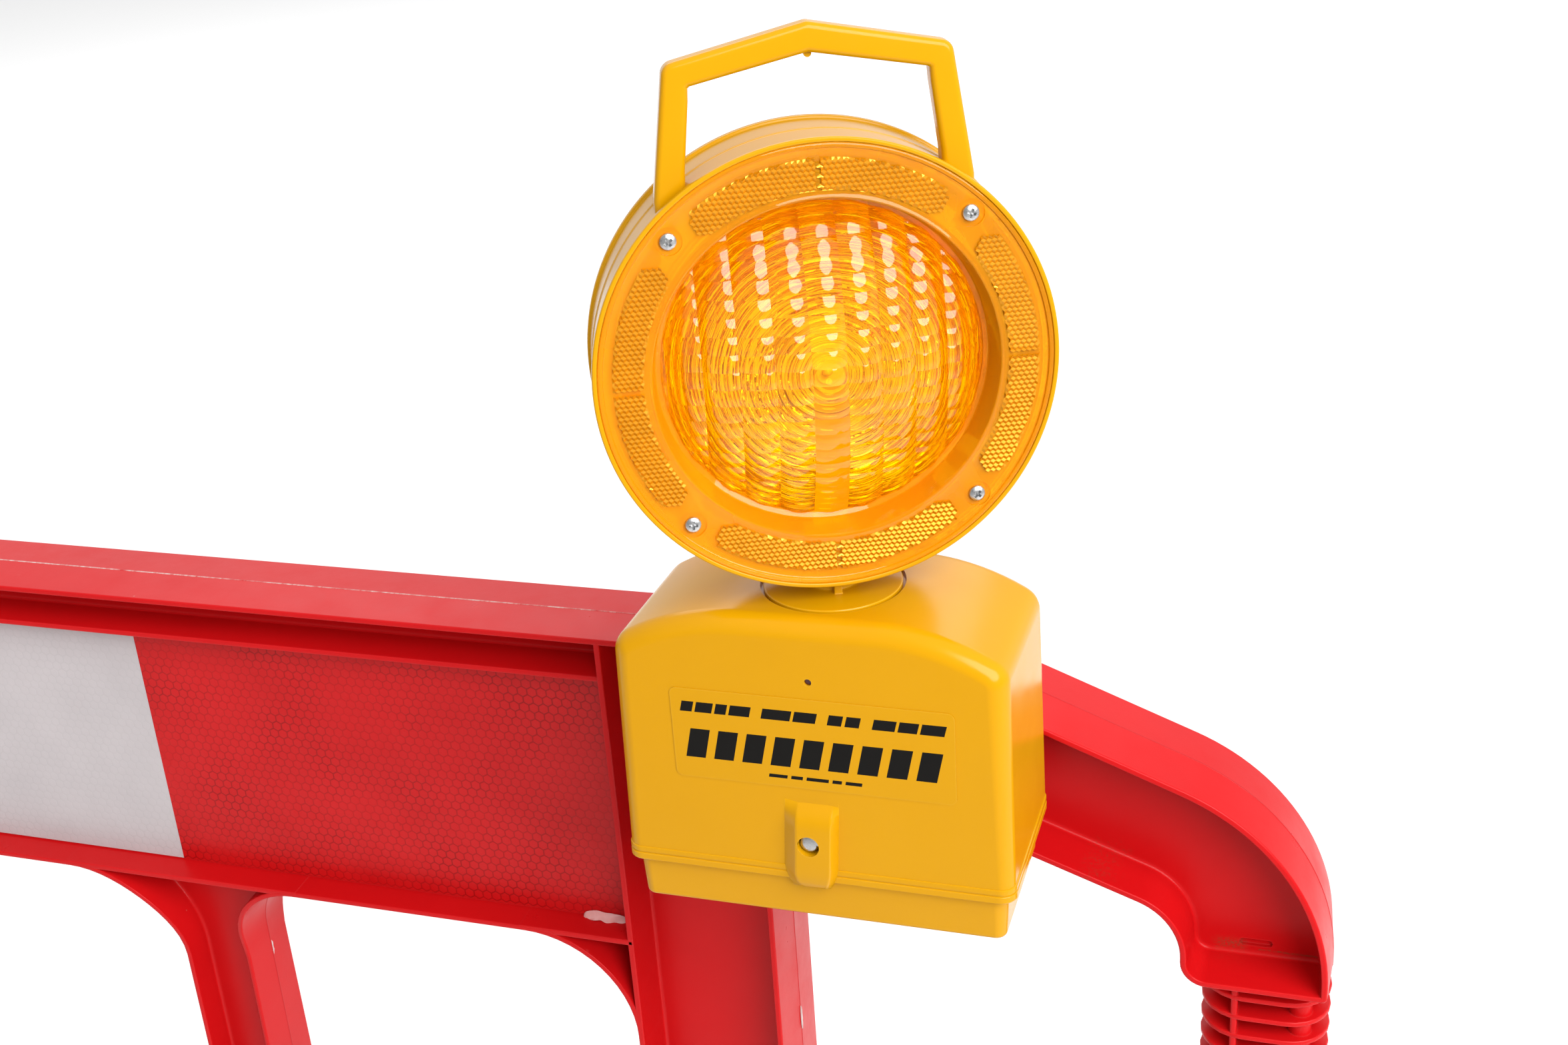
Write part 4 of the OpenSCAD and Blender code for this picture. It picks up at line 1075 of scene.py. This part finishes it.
# ------------------------------------------------------------------ swivel neck
nk = Shape()
lathe_z(nk, [(5.0, -112), (10.3, -112), (10.5, -111.8), (10.5, -99.9), (28.6, -99.8), (29.0, -99.4), (29.0, -98.1), (28.75, -97.75), (28.2, -97.6), (12.0, -97.55), (11.0, -97.1), (10.6, -96.0), (10.5, -94.0), (10.5, -88.0), (5.0, -88.0)], 96)
for s_ in (-1, 1):
    ya, yb = (-14.6, -6.0) if s_ < 0 else (6.0, 14.6)
    rings = []
    for z, i in ((-97.7, 0.0), (-97.2, 0.35), (-92.0, 0.5), (-88.1, 0.55)):
        rings.append([(x, y, z) for x, y in rrect(-2.1 + i, 2.1 - i, ya + i, yb, 0.5, 3)])
    loft(nk, rings)
neck_ob = build("neck_moulding", nk, M["yellow"], "lamp_head", ("swivel_neck",), sharp=30)
neck_ob.data.transform(Matrix.Scale(MM, 4) @ TH @ Matrix.Scale(1 / MM, 4))

# ------------------------------------------------------------------ head casings
SCR = [(80.4 * math.cos(rad(a)), 80.4 * math.sin(rad(a)), a) for a in (45, 135, 225, 315)]


def casing_shape():
    s_ = Shape()
    prof = [(86.7, 0.02), (89.40, 0.02), (89.52, 0.15), (89.52, 0.55), (89.40, 0.8), (89.28, 1.0), (89.2, 1.6), (89.25, 17.6), (89.17, 17.9), (89.12, 18.2), (89.17, 18.5), (89.4, 18.8),
            (89.9, 18.95), (90.25, 19.3), (90.4, 19.8), (90.4, 21.6), (90.28, 22.1), (89.95, 22.45), (89.5, 22.55), (88.95, 22.5), (88.6, 22.3), (88.42, 21.9), (88.35, 19.15),
            (86.75, 19.1), (86.7, 18.25), (83.6, 18.2), (83.6, 16.2), (86.7, 13.9)]
    lathe(s_, prof, 192)
    for x, z, a in SCR:
        c = Shape()
        lathe(c, [(1.5, 7.0), (1.5, 19.2), (3.6, 19.2), (4.0, 18.9), (4.3, 0.05), (0.01, 0.05), (0.01, 7.0)], 24)
        s_.merge(c, Matrix.Translation((x, 0, z)))
        b_ = Shape()
        rounded_box(b_, 0, 7.3, -17.0, -0.05, -1.6, 1.6, 0.3)
        s_.merge(b_, Matrix.Translation((x, 0, z)) @ Matrix.Rotation(rad(-a), 4, 'Y'))
    return s_


def handle_shape():
    s_ = Shape()
    def lerp(p, q, t):
        return (p[0] + (q[0] - p[0]) * t, p[1] + (q[1] - p[1]) * t)
    O = round_path([(-60.3, 60, 0), (-60.3, 70, 0), (-53.2, 119.0, 5.0), (0, 130.3, 5.0), (53.2, 119.0, 5.0), (60.3, 70, 0), (60.3, 60, 0)], closed=False, seg=6)
    # matching inner stations
    st_o, st_i = [], []
    nO = len(O)
    # O: 0,1 legs; 2..8 left corner; 9..15 apex; 16..22 right corner; 23,24 legs
    I_leg0, I_leg1, I_c, I_a = (-48.2, 60), (-48.2, 77.5), (-44.0, 110.6), (0, 119.3)
    def add(o, i):
        st_o.append(o)
        st_i.append(i)
    add(O[0], I_leg0)
    add(O[1], (-48.2, 70))
    for t in (0.18, 0.5, 0.85):
        add(lerp(O[1], O[2], t), lerp(I_leg1, I_c, max(0.0, (t - 0.1) / 0.9)))
    for q in range(2, 9):
        add(O[q], (-44.0 + 0.35 * (q - 5) / 3, 110.4 + 0.25 * (q - 5) / 3))
    for t in (0.12, 0.4, 0.7, 0.9):
        add(lerp(O[8], O[9], t), lerp(I_c, I_a, t * 0.985))
    for q in range(9, 16):
        add(O[q], (0.45 * (q - 12) / 3, 119.3 - 0.12 * abs(q - 12) / 3))
    n0 = len(st_o) - 4
    left = list(zip(st_o, st_i))
    body = left[:-3]
    mid_ = body[-1]
    right = [((-o[0], o[1]), (-i[0], i[1])) for o, i in reversed(body[:-1])]
    allst = body + right
    rings = []
    r = 2.4
    ya, yb = -15.0, -5.0
    for o, i in allst:
        dv = Vector((i[0] - o[0], i[1] - o[1]))
        L_ = dv.length
        dv /= L_
        ring = []
        for (cx, cy, a0) in ((r, ya + r, 180), (L_ - r, ya + r, 270), (L_ - r, yb - r, 0), (r, yb - r, 90)):
            for k in range(5):
                t = rad(a0 + 90 * k / 4)
                u, y = cx + r * math.cos(t), cy + r * math.sin(t)
                ring.append((o[0] + dv.x * u, y, o[1] + dv.y * u))
        rings.append(ring)
    loft(s_, rings)
    nib = Shape()
    lathe(nib, [(0.01, 8.6), (1.5, 8.6), (1.5, 11.4), (0.01, 11.4)], 16)
    s_.merge(moved(nib, Matrix.Translation((0, 0, 118.7))))
    return s_


hs = handle_shape()
handle_ob = build("carry_handle", hs, M["yellow"], "lamp_head", (), sharp=38, weld=0.0005)
cut(handle_ob, [cyl_y(0, 0, 88.3, -60, 60, 128)])
handle_ob.data.transform(Matrix.Scale(MM, 4) @ TH @ Matrix.Scale(1 / MM, 4))
build("front_casing", casing_shape(), M["yellow"], "lamp_head", ("head_front_casing",), tf=TH, sharp=28)
build("rear_casing", casing_shape(), M["yellow"], "lamp_head", ("head_rear_casing",), tf=TR_, sharp=28)

# ------------------------------------------------------------------ lenses
CW, CH = 13.65, 6.85
DR, DA = 110.0, 28.2


def dome_d(x, z):
    return math.sqrt(max(1.0, DR * DR - x * x - z * z)) - DR + DA


def lens_dome(su=6, sv=4, R=12.0):
    """Front: convex pillows on a sphere. Back: concentric prism rings with a bright bull's-eye."""
    s_ = Shape()
    verts, index = [], {}
    nx, nz = 5, 10
    def vid(i, j, cellx, cellz):
        gx, gz = cellx * su + i, cellz * sv + j
        if (gx, gz) in index:
            return index[(gx, gz)]
        x = (gx / su - 0.5) * CW
        z = (gz / sv - 0.5) * CH
        u = ((gx + su * 100) % su) / su * CW
        u = u - CW / 2 if True else u
        v = ((gz + sv * 100) % sv) / sv * CH - CH / 2
        rr0 = math.hypot(x, z)
        if rr0 > 65.4:
            x, z = x * 65.4 / rr0, z * 65.4 / rr0
        h_ = math.sqrt(R * R - u * u - v * v) - R
        d = dome_d(x, z) + h_ + 0.35
        index[(gx, gz)] = len(verts)
        verts.append((x, -d, z))
        return index[(gx, gz)]
    faces = []
    for cx in range(-nx, nx + 1):
        for cz in range(-nz, nz + 1):
            for i in range(su):
                for j in range(sv):
                    pts = [((cx * su + i + a) / su - 0.5, (cz * sv + j + b) / sv - 0.5) for a, b in ((0, 0), (1, 0), (1, 1), (0, 1))]
                    rs = [math.hypot(p[0] * CW, p[1] * CH) for p in pts]
                    if min(rs) >= 65.4:
                        continue
                    q = [vid(i + a, j + b, cx, cz) for a, b in ((0, 0), (1, 0), (1, 1), (0, 1))]
                    faces.append(tuple(q))
    s_.add(verts, faces)   # X right, Z up, seen from -Y: counter-clockwise
    # back surface: saw-tooth rings, facing +Y
    # the back has convex rings: each bulges to the rear and meets its neighbours in a sharp valley
    prof = [(0.01, DA - 4.6), (2.0, DA - 4.4), (4.0, DA - 3.7), (5.4, DA - 2.7)]
    r = 5.4
    while r < 63.3:
        w_ = 3.0
        for q in range(1, 7):
            t = q / 6
            rr0 = r + w_ * t
            bulge = 0.95 * (1 - (2 * t - 0.9) ** 2 / (1.21 if t > 0.45 else 0.81))
            prof.append((rr0, dome_d(rr0, 0) - 2.4 - max(0.0, bulge)))
        r += w_
    prof.append((65.2, dome_d(65.2, 0) - 2.4))
    k = len(prof)
    seg = 120
    vs = []
    for i in range(seg):
        t = 2 * math.pi * i / seg
        for r, d in prof:
            vs.append((r * math.cos(t), -d, r * math.sin(t)))
    fs = []
    for i in range(seg):
        j = (i + 1) % seg
        for q in range(k - 1):
            fs.append((i * k + q, i * k + q + 1, j * k + q + 1, j * k + q))
    s_.add(vs, fs)
    return s_


def lens_ring():
    s_ = Shape()
    prof = [(63.4, 6.4), (64.2, 5.7), (67.0, 7.6), (69.8, 19.2), (88.2, 19.2), (88.2, 22.1), (88.0, 22.45), (87.6, 22.6), (86.9, 22.6), (86.5, 22.45), (86.3, 22.1), (86.15, 21.6), (85.8, 21.4),
            (69.0, 21.4), (68.6, 21.55), (68.1, 21.75), (67.6, 21.6), (67.25, 21.1), (65.9, 9.6), (65.4, 8.4), (63.6, 7.6)]
    lathe(s_, prof, 160)
    return s_


def inside_pad(x, z):
    r = math.hypot(x, z)
    a = math.degrees(math.atan2(z, x)) % 90.0
    if not 70.2 < r < 83.0:
        return False
    mid_gap = 1.0
    # distance along the ring from the split line at 0 degrees (mod 90) and from the screw at 45
    d0 = rad(min(a, 90 - a)) * r
    if d0 < mid_gap:
        return False
    ang = abs(a - 45.0)
    # rounded end towards the screw
    sx, sz = r * math.cos(rad(ang)) - 80.4, r * math.sin(rad(ang))
    if math.hypot(sx, sz) < 6.6:
        return False
    e = rad(ang) * 76.6 - 9.5
    if e < 0:
        return False
    if e < 6.0 and math.hypot(6.0 - e, r - 76.6) > 6.0:
        return False
    return True


def reflex_pads():
    """Cube-corner cells: hexagons of three rhombic faces, clipped to the pad outlines."""
    s_ = Shape()
    pitch = 2.15
    a = pitch / math.sqrt(3)
    D = 1.05
    base = 21.36
    index, verts = {}, []
    def vid(x, z, d):
        key = (round(x * 50), round(z * 50))
        if key not in index:
            index[key] = len(verts)
            r_ = math.hypot(x, z)
            rc_ = max(70.5, min(82.7, r_))
            x, z = x * rc_ / r_, z * rc_ / r_
            if min(abs(x), abs(z)) < 0.8:
                if abs(x) < abs(z):
                    x = math.copysign(0.8, x)
                else:
                    z = math.copysign(0.8, z)
            if rc_ != r_:
                d = 0.1
            verts.append((x, -(base + d), z))
        return index[key]
    faces = []
    n_ = int(90 / pitch)
    for i in range(-n_, n_ + 1):
        for j in range(-int(n_ * 1.2), int(n_ * 1.2) + 1):
            cx = pitch * (i + 0.5 * (j & 1))
            cz = pitch * math.sqrt(3) / 2 * j
            if not inside_pad(cx, cz):
                continue
            c = vid(cx, cz, 0.0)
            cs = []
            for q in range(6):
                t = rad(30 + 60 * q)
                cs.append(vid(cx + a * math.cos(t), cz + a * math.sin(t), D if q % 2 == 0 else D * 0.5))
            for q in (1, 3, 5):
                faces.append((c, cs[q], cs[(q + 1) % 6], cs[(q + 2) % 6]))
    s_.add(verts, faces)
    return s_


def screw_head():
    s_ = Shape()
    lathe(s_, [(0.01, 17.0), (1.5, 17.0), (1.5, 20.6), (3.1, 20.6), (3.25, 20.9), (3.1, 21.7), (2.6, 22.15), (1.6, 22.4), (0.01, 22.5)], 32)
    return s_


TONE = 1.0
reflex = plain("amber_reflex", (0.66, 0.27, 0.003), 0.20, metallic=0.5, scale=500, bump=0.02)
TONE = 0.64
sc_me = build("lens_screw_master", screw_head(), M["steel"], "lamp_head", (), sharp=30, weld=0.001)
cx_ = Shape()
for a in (20, 110):
    b_ = Shape()
    rings = []
    for y, w, l in ((-23.0, 0.55, 2.05), (-20.9, 0.40, 1.2)):
        rings.append([(-l, y, -w), (l, y, -w), (l, y, w), (-l, y, w)])
    loft(b_, rings)
    cx_.merge(b_, Matrix.Rotation(rad(a), 4, 'Y'))
parts_ = []
for a in (20, 110):
    b_ = Shape()
    loft(b_, [[(-l, y, -w), (l, y, -w), (l, y, w), (-l, y, w)] for y, w, l in ((-23.0, 0.55, 2.05), (-20.9, 0.40, 1.2))])
    parts_.append(moved(b_, Matrix.Rotation(rad(a), 4, 'Y')))
cut(sc_me, parts_)
sv = [tuple(v.co / MM) for v in sc_me.data.vertices]
sf = [tuple(p.vertices) for p in sc_me.data.polygons]
bpy.data.objects.remove(sc_me)

for tag, tf in (("front", TH), ("rear", TR_)):
    ring_ob = build(tag + "_lens_ring", lens_ring(), M["amber_rim"], "lamp_head", (tag + "_lens",), sharp=24, weighted=False)
    cut(ring_ob, [moved(cyl_y(0, 0, 5.35, -30, -20.55, 40), Matrix.Translation((x, 0, z))) for x, z, a in SCR]
        + [moved(cyl_y(0, 0, 1.9, -30, -10, 24), Matrix.Translation((x, 0, z))) for x, z, a in SCR])
    ring_ob.data.transform(Matrix.Scale(MM, 4) @ tf @ Matrix.Scale(1 / MM, 4))
    build(tag + "_lens_dome", lens_dome(), M["amber"], "lamp_head", (), tf=tf, sharp=18, recalc=False, weighted=False)
    build(tag + "_reflex_cells", reflex_pads(), reflex, "lamp_head", (), tf=tf, sharp=1, recalc=False, weighted=False)
    s_ = Shape()
    for i, (x, z, a) in enumerate(SCR):
        s1 = Shape()
        s1.add(sv, sf)
        s_.merge(s1, Matrix.Translation((x, 0, z)) @ Matrix.Rotation(rad(37 * i), 4, 'Y'))
    build(tag + "_lens_screw_set", s_, M["steel"], "lamp_head", (tag + "_lens_screws",), tf=tf, sharp=30)

# ------------------------------------------------------------------ carried-over CAD nodes
film = yellow_plastic("label_film", (0.82, 0.40, 0.002))
resin = plain("led_resin", (1.5, 1.35, 0.9), 0.25, coat=0.4)
use = {"front_board_panel": "red", "rear_board_panel": "red",
       "front_sheets_red": "red_sheet", "rear_sheets_red": "red_sheet", "front_sheets_white": "white_sheet", "rear_sheets_white": "white_sheet",
       "left_foot": "foot", "right_foot": "foot", "left_foot_pads": "pad", "right_foot_pads": "pad",
       "foot_pivot_bolts": "steel", "foot_pivot_nuts": "steel", "foot_nut_washers": "steel", "foot_head_washers": "steel", "foot_thrust_washers": "white_pl",
       "tray_gasket": "seal", "lantern_batteries": "case", "battery_springs": "steel", "contact_board": "board", "contact_pads": "brass", "contact_board_screws": "steel",
       "switch_housing": "black_pl", "switch_slider": "white_pl", "light_sensor": "sensor", "lamp_lead": "seal", "clamp_washer": "steel", "clamp_nut": "steel",
       "clamp_sleeve": "alu", "rear_spacer": "yellow", "neck_retaining_ring": "black_pl", "neck_screws": "steel", "front_lens_gasket": "lens_seal", "rear_lens_gasket": "lens_seal",
       "led_board": "pale_board", "led_board_clip": "yellow"}
mats_for = {k: M[v] for k, v in use.items()}
mats_for["cover_label"] = film
mats_for["led_modules"] = resin
for name, mt in mats_for.items():
    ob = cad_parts[name]
    for o_ in (ob if isinstance(ob, (list, tuple)) else [ob]):
        if not o_.data.materials:
            o_.data.materials.append(mt)
        for i in range(len(o_.data.materials)):
            o_.data.materials[i] = mt
for name, width in (("left_foot", 1.6), ("right_foot", 1.6), ("front_board_panel", 0.35), ("rear_board_panel", 0.35), ("rear_spacer", 0.8), ("foot_pivot_nuts", 0.5),
                    ("foot_pivot_bolts", 0.5), ("clamp_nut", 0.4), ("lantern_batteries", 1.0), ("led_modules", 0.2), ("led_board_clip", 0.4)):
    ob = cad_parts[name]
    w = ob.modifiers.new("join", "WELD")
    w.merge_threshold = 2e-6
    b = ob.modifiers.new("edge", "BEVEL")
    b.width = width * MM
    b.segments = 2
    b.limit_method = 'ANGLE'
    b.angle_limit = rad(35)
    b.use_clamp_overlap = True

# ------------------------------------------------------------------ stage and light
fm = bpy.data.meshes.new("floor")
F = 14.0
fm.from_pydata([(-F, -F, 0), (F, -F, 0), (F, F, 0), (-F, F, 0)], [], [(0, 1, 2, 3)])
floor = bpy.data.objects.new("floor", fm)
bpy.context.scene.collection.objects.link(floor)
flm, fnt, fb = new_mat("pale_floor")
fn = N(fnt)
TONE = 1.0
fx, fy, fz = fn.xyz()
# the sheet of paper is painted darker in front, a painted shade, so it does not veil the faces that look at it
fn.link(fn.ramp(fn.math("MULTIPLY", fn.math("ADD", fy, 1.9), 0.5), [(0.0, 0.50), (0.75, 0.90)]), fb.inputs["Base Color"])
TONE = 0.64
fb.inputs["Roughness"].default_value = 0.75
fm.materials.append(flm)

w = bpy.data.worlds.new("studio")
bpy.context.scene.world = w
w.use_nodes = True
bg = w.node_tree.nodes.get("Background") or w.node_tree.nodes.new("ShaderNodeBackground")
bg.inputs[0].default_value = (1, 1, 1, 1)
wn = N(w.node_tree)
wx, wy, wz = wn.xyz(wn.coords("Generated"))
f_ = wn.math("ADD", wn.math("MULTIPLY", wy, 0.62), wn.math("MULTIPLY", wz, 0.60))
mr = wn.node("ShaderNodeMapRange", interpolation_type="SMOOTHSTEP")
wn.link(f_, mr.inputs[0])
mr.inputs[1].default_value, mr.inputs[2].default_value = -0.35, 0.45
mr.inputs[3].default_value, mr.inputs[4].default_value = 0.40, 0.98
wn.link(mr.outputs[0], bg.inputs[1])


def softbox(name, target, direction, dist, size, power, color=(1, 1, 1), shape='DISK'):
    ld = bpy.data.lights.new(name, 'AREA')
    ld.shape = shape
    ld.size = size
    ld.energy = power
    ld.color = color
    ob = bpy.data.objects.new(name, ld)
    bpy.context.scene.collection.objects.link(ob)
    d = Vector(direction).normalized()
    ob.location = Vector(target) + d * dist
    ob.rotation_euler = (-d).to_track_quat('-Z', 'Y').to_euler()
    return ob


softbox("key", (0.82, -0.07, 1.16), (0.662, -0.576, 0.483), 2.0, 1.8, 76, (1.0, 0.985, 0.97))

fill = softbox("front_fill", (0.35, 0.0, 0.85), (-0.30, -0.80, 0.52), 3.2, 2.4, 14, (1.0, 0.99, 0.98))
fill.visible_glossy = False   # it lifts the shaded faces without adding a second highlight to the lenses
softbox("backdrop_light", (-1.0, 6.0, 0.0), (0.05, -0.1, 1.0), 4.5, 6.0, 215, shape='SQUARE')

sc = bpy.context.scene
sc.view_settings.view_transform = 'Standard'
sc.view_settings.look = 'None'
sc.view_settings.exposure = 0.0
sc.cycles.use_denoising = True
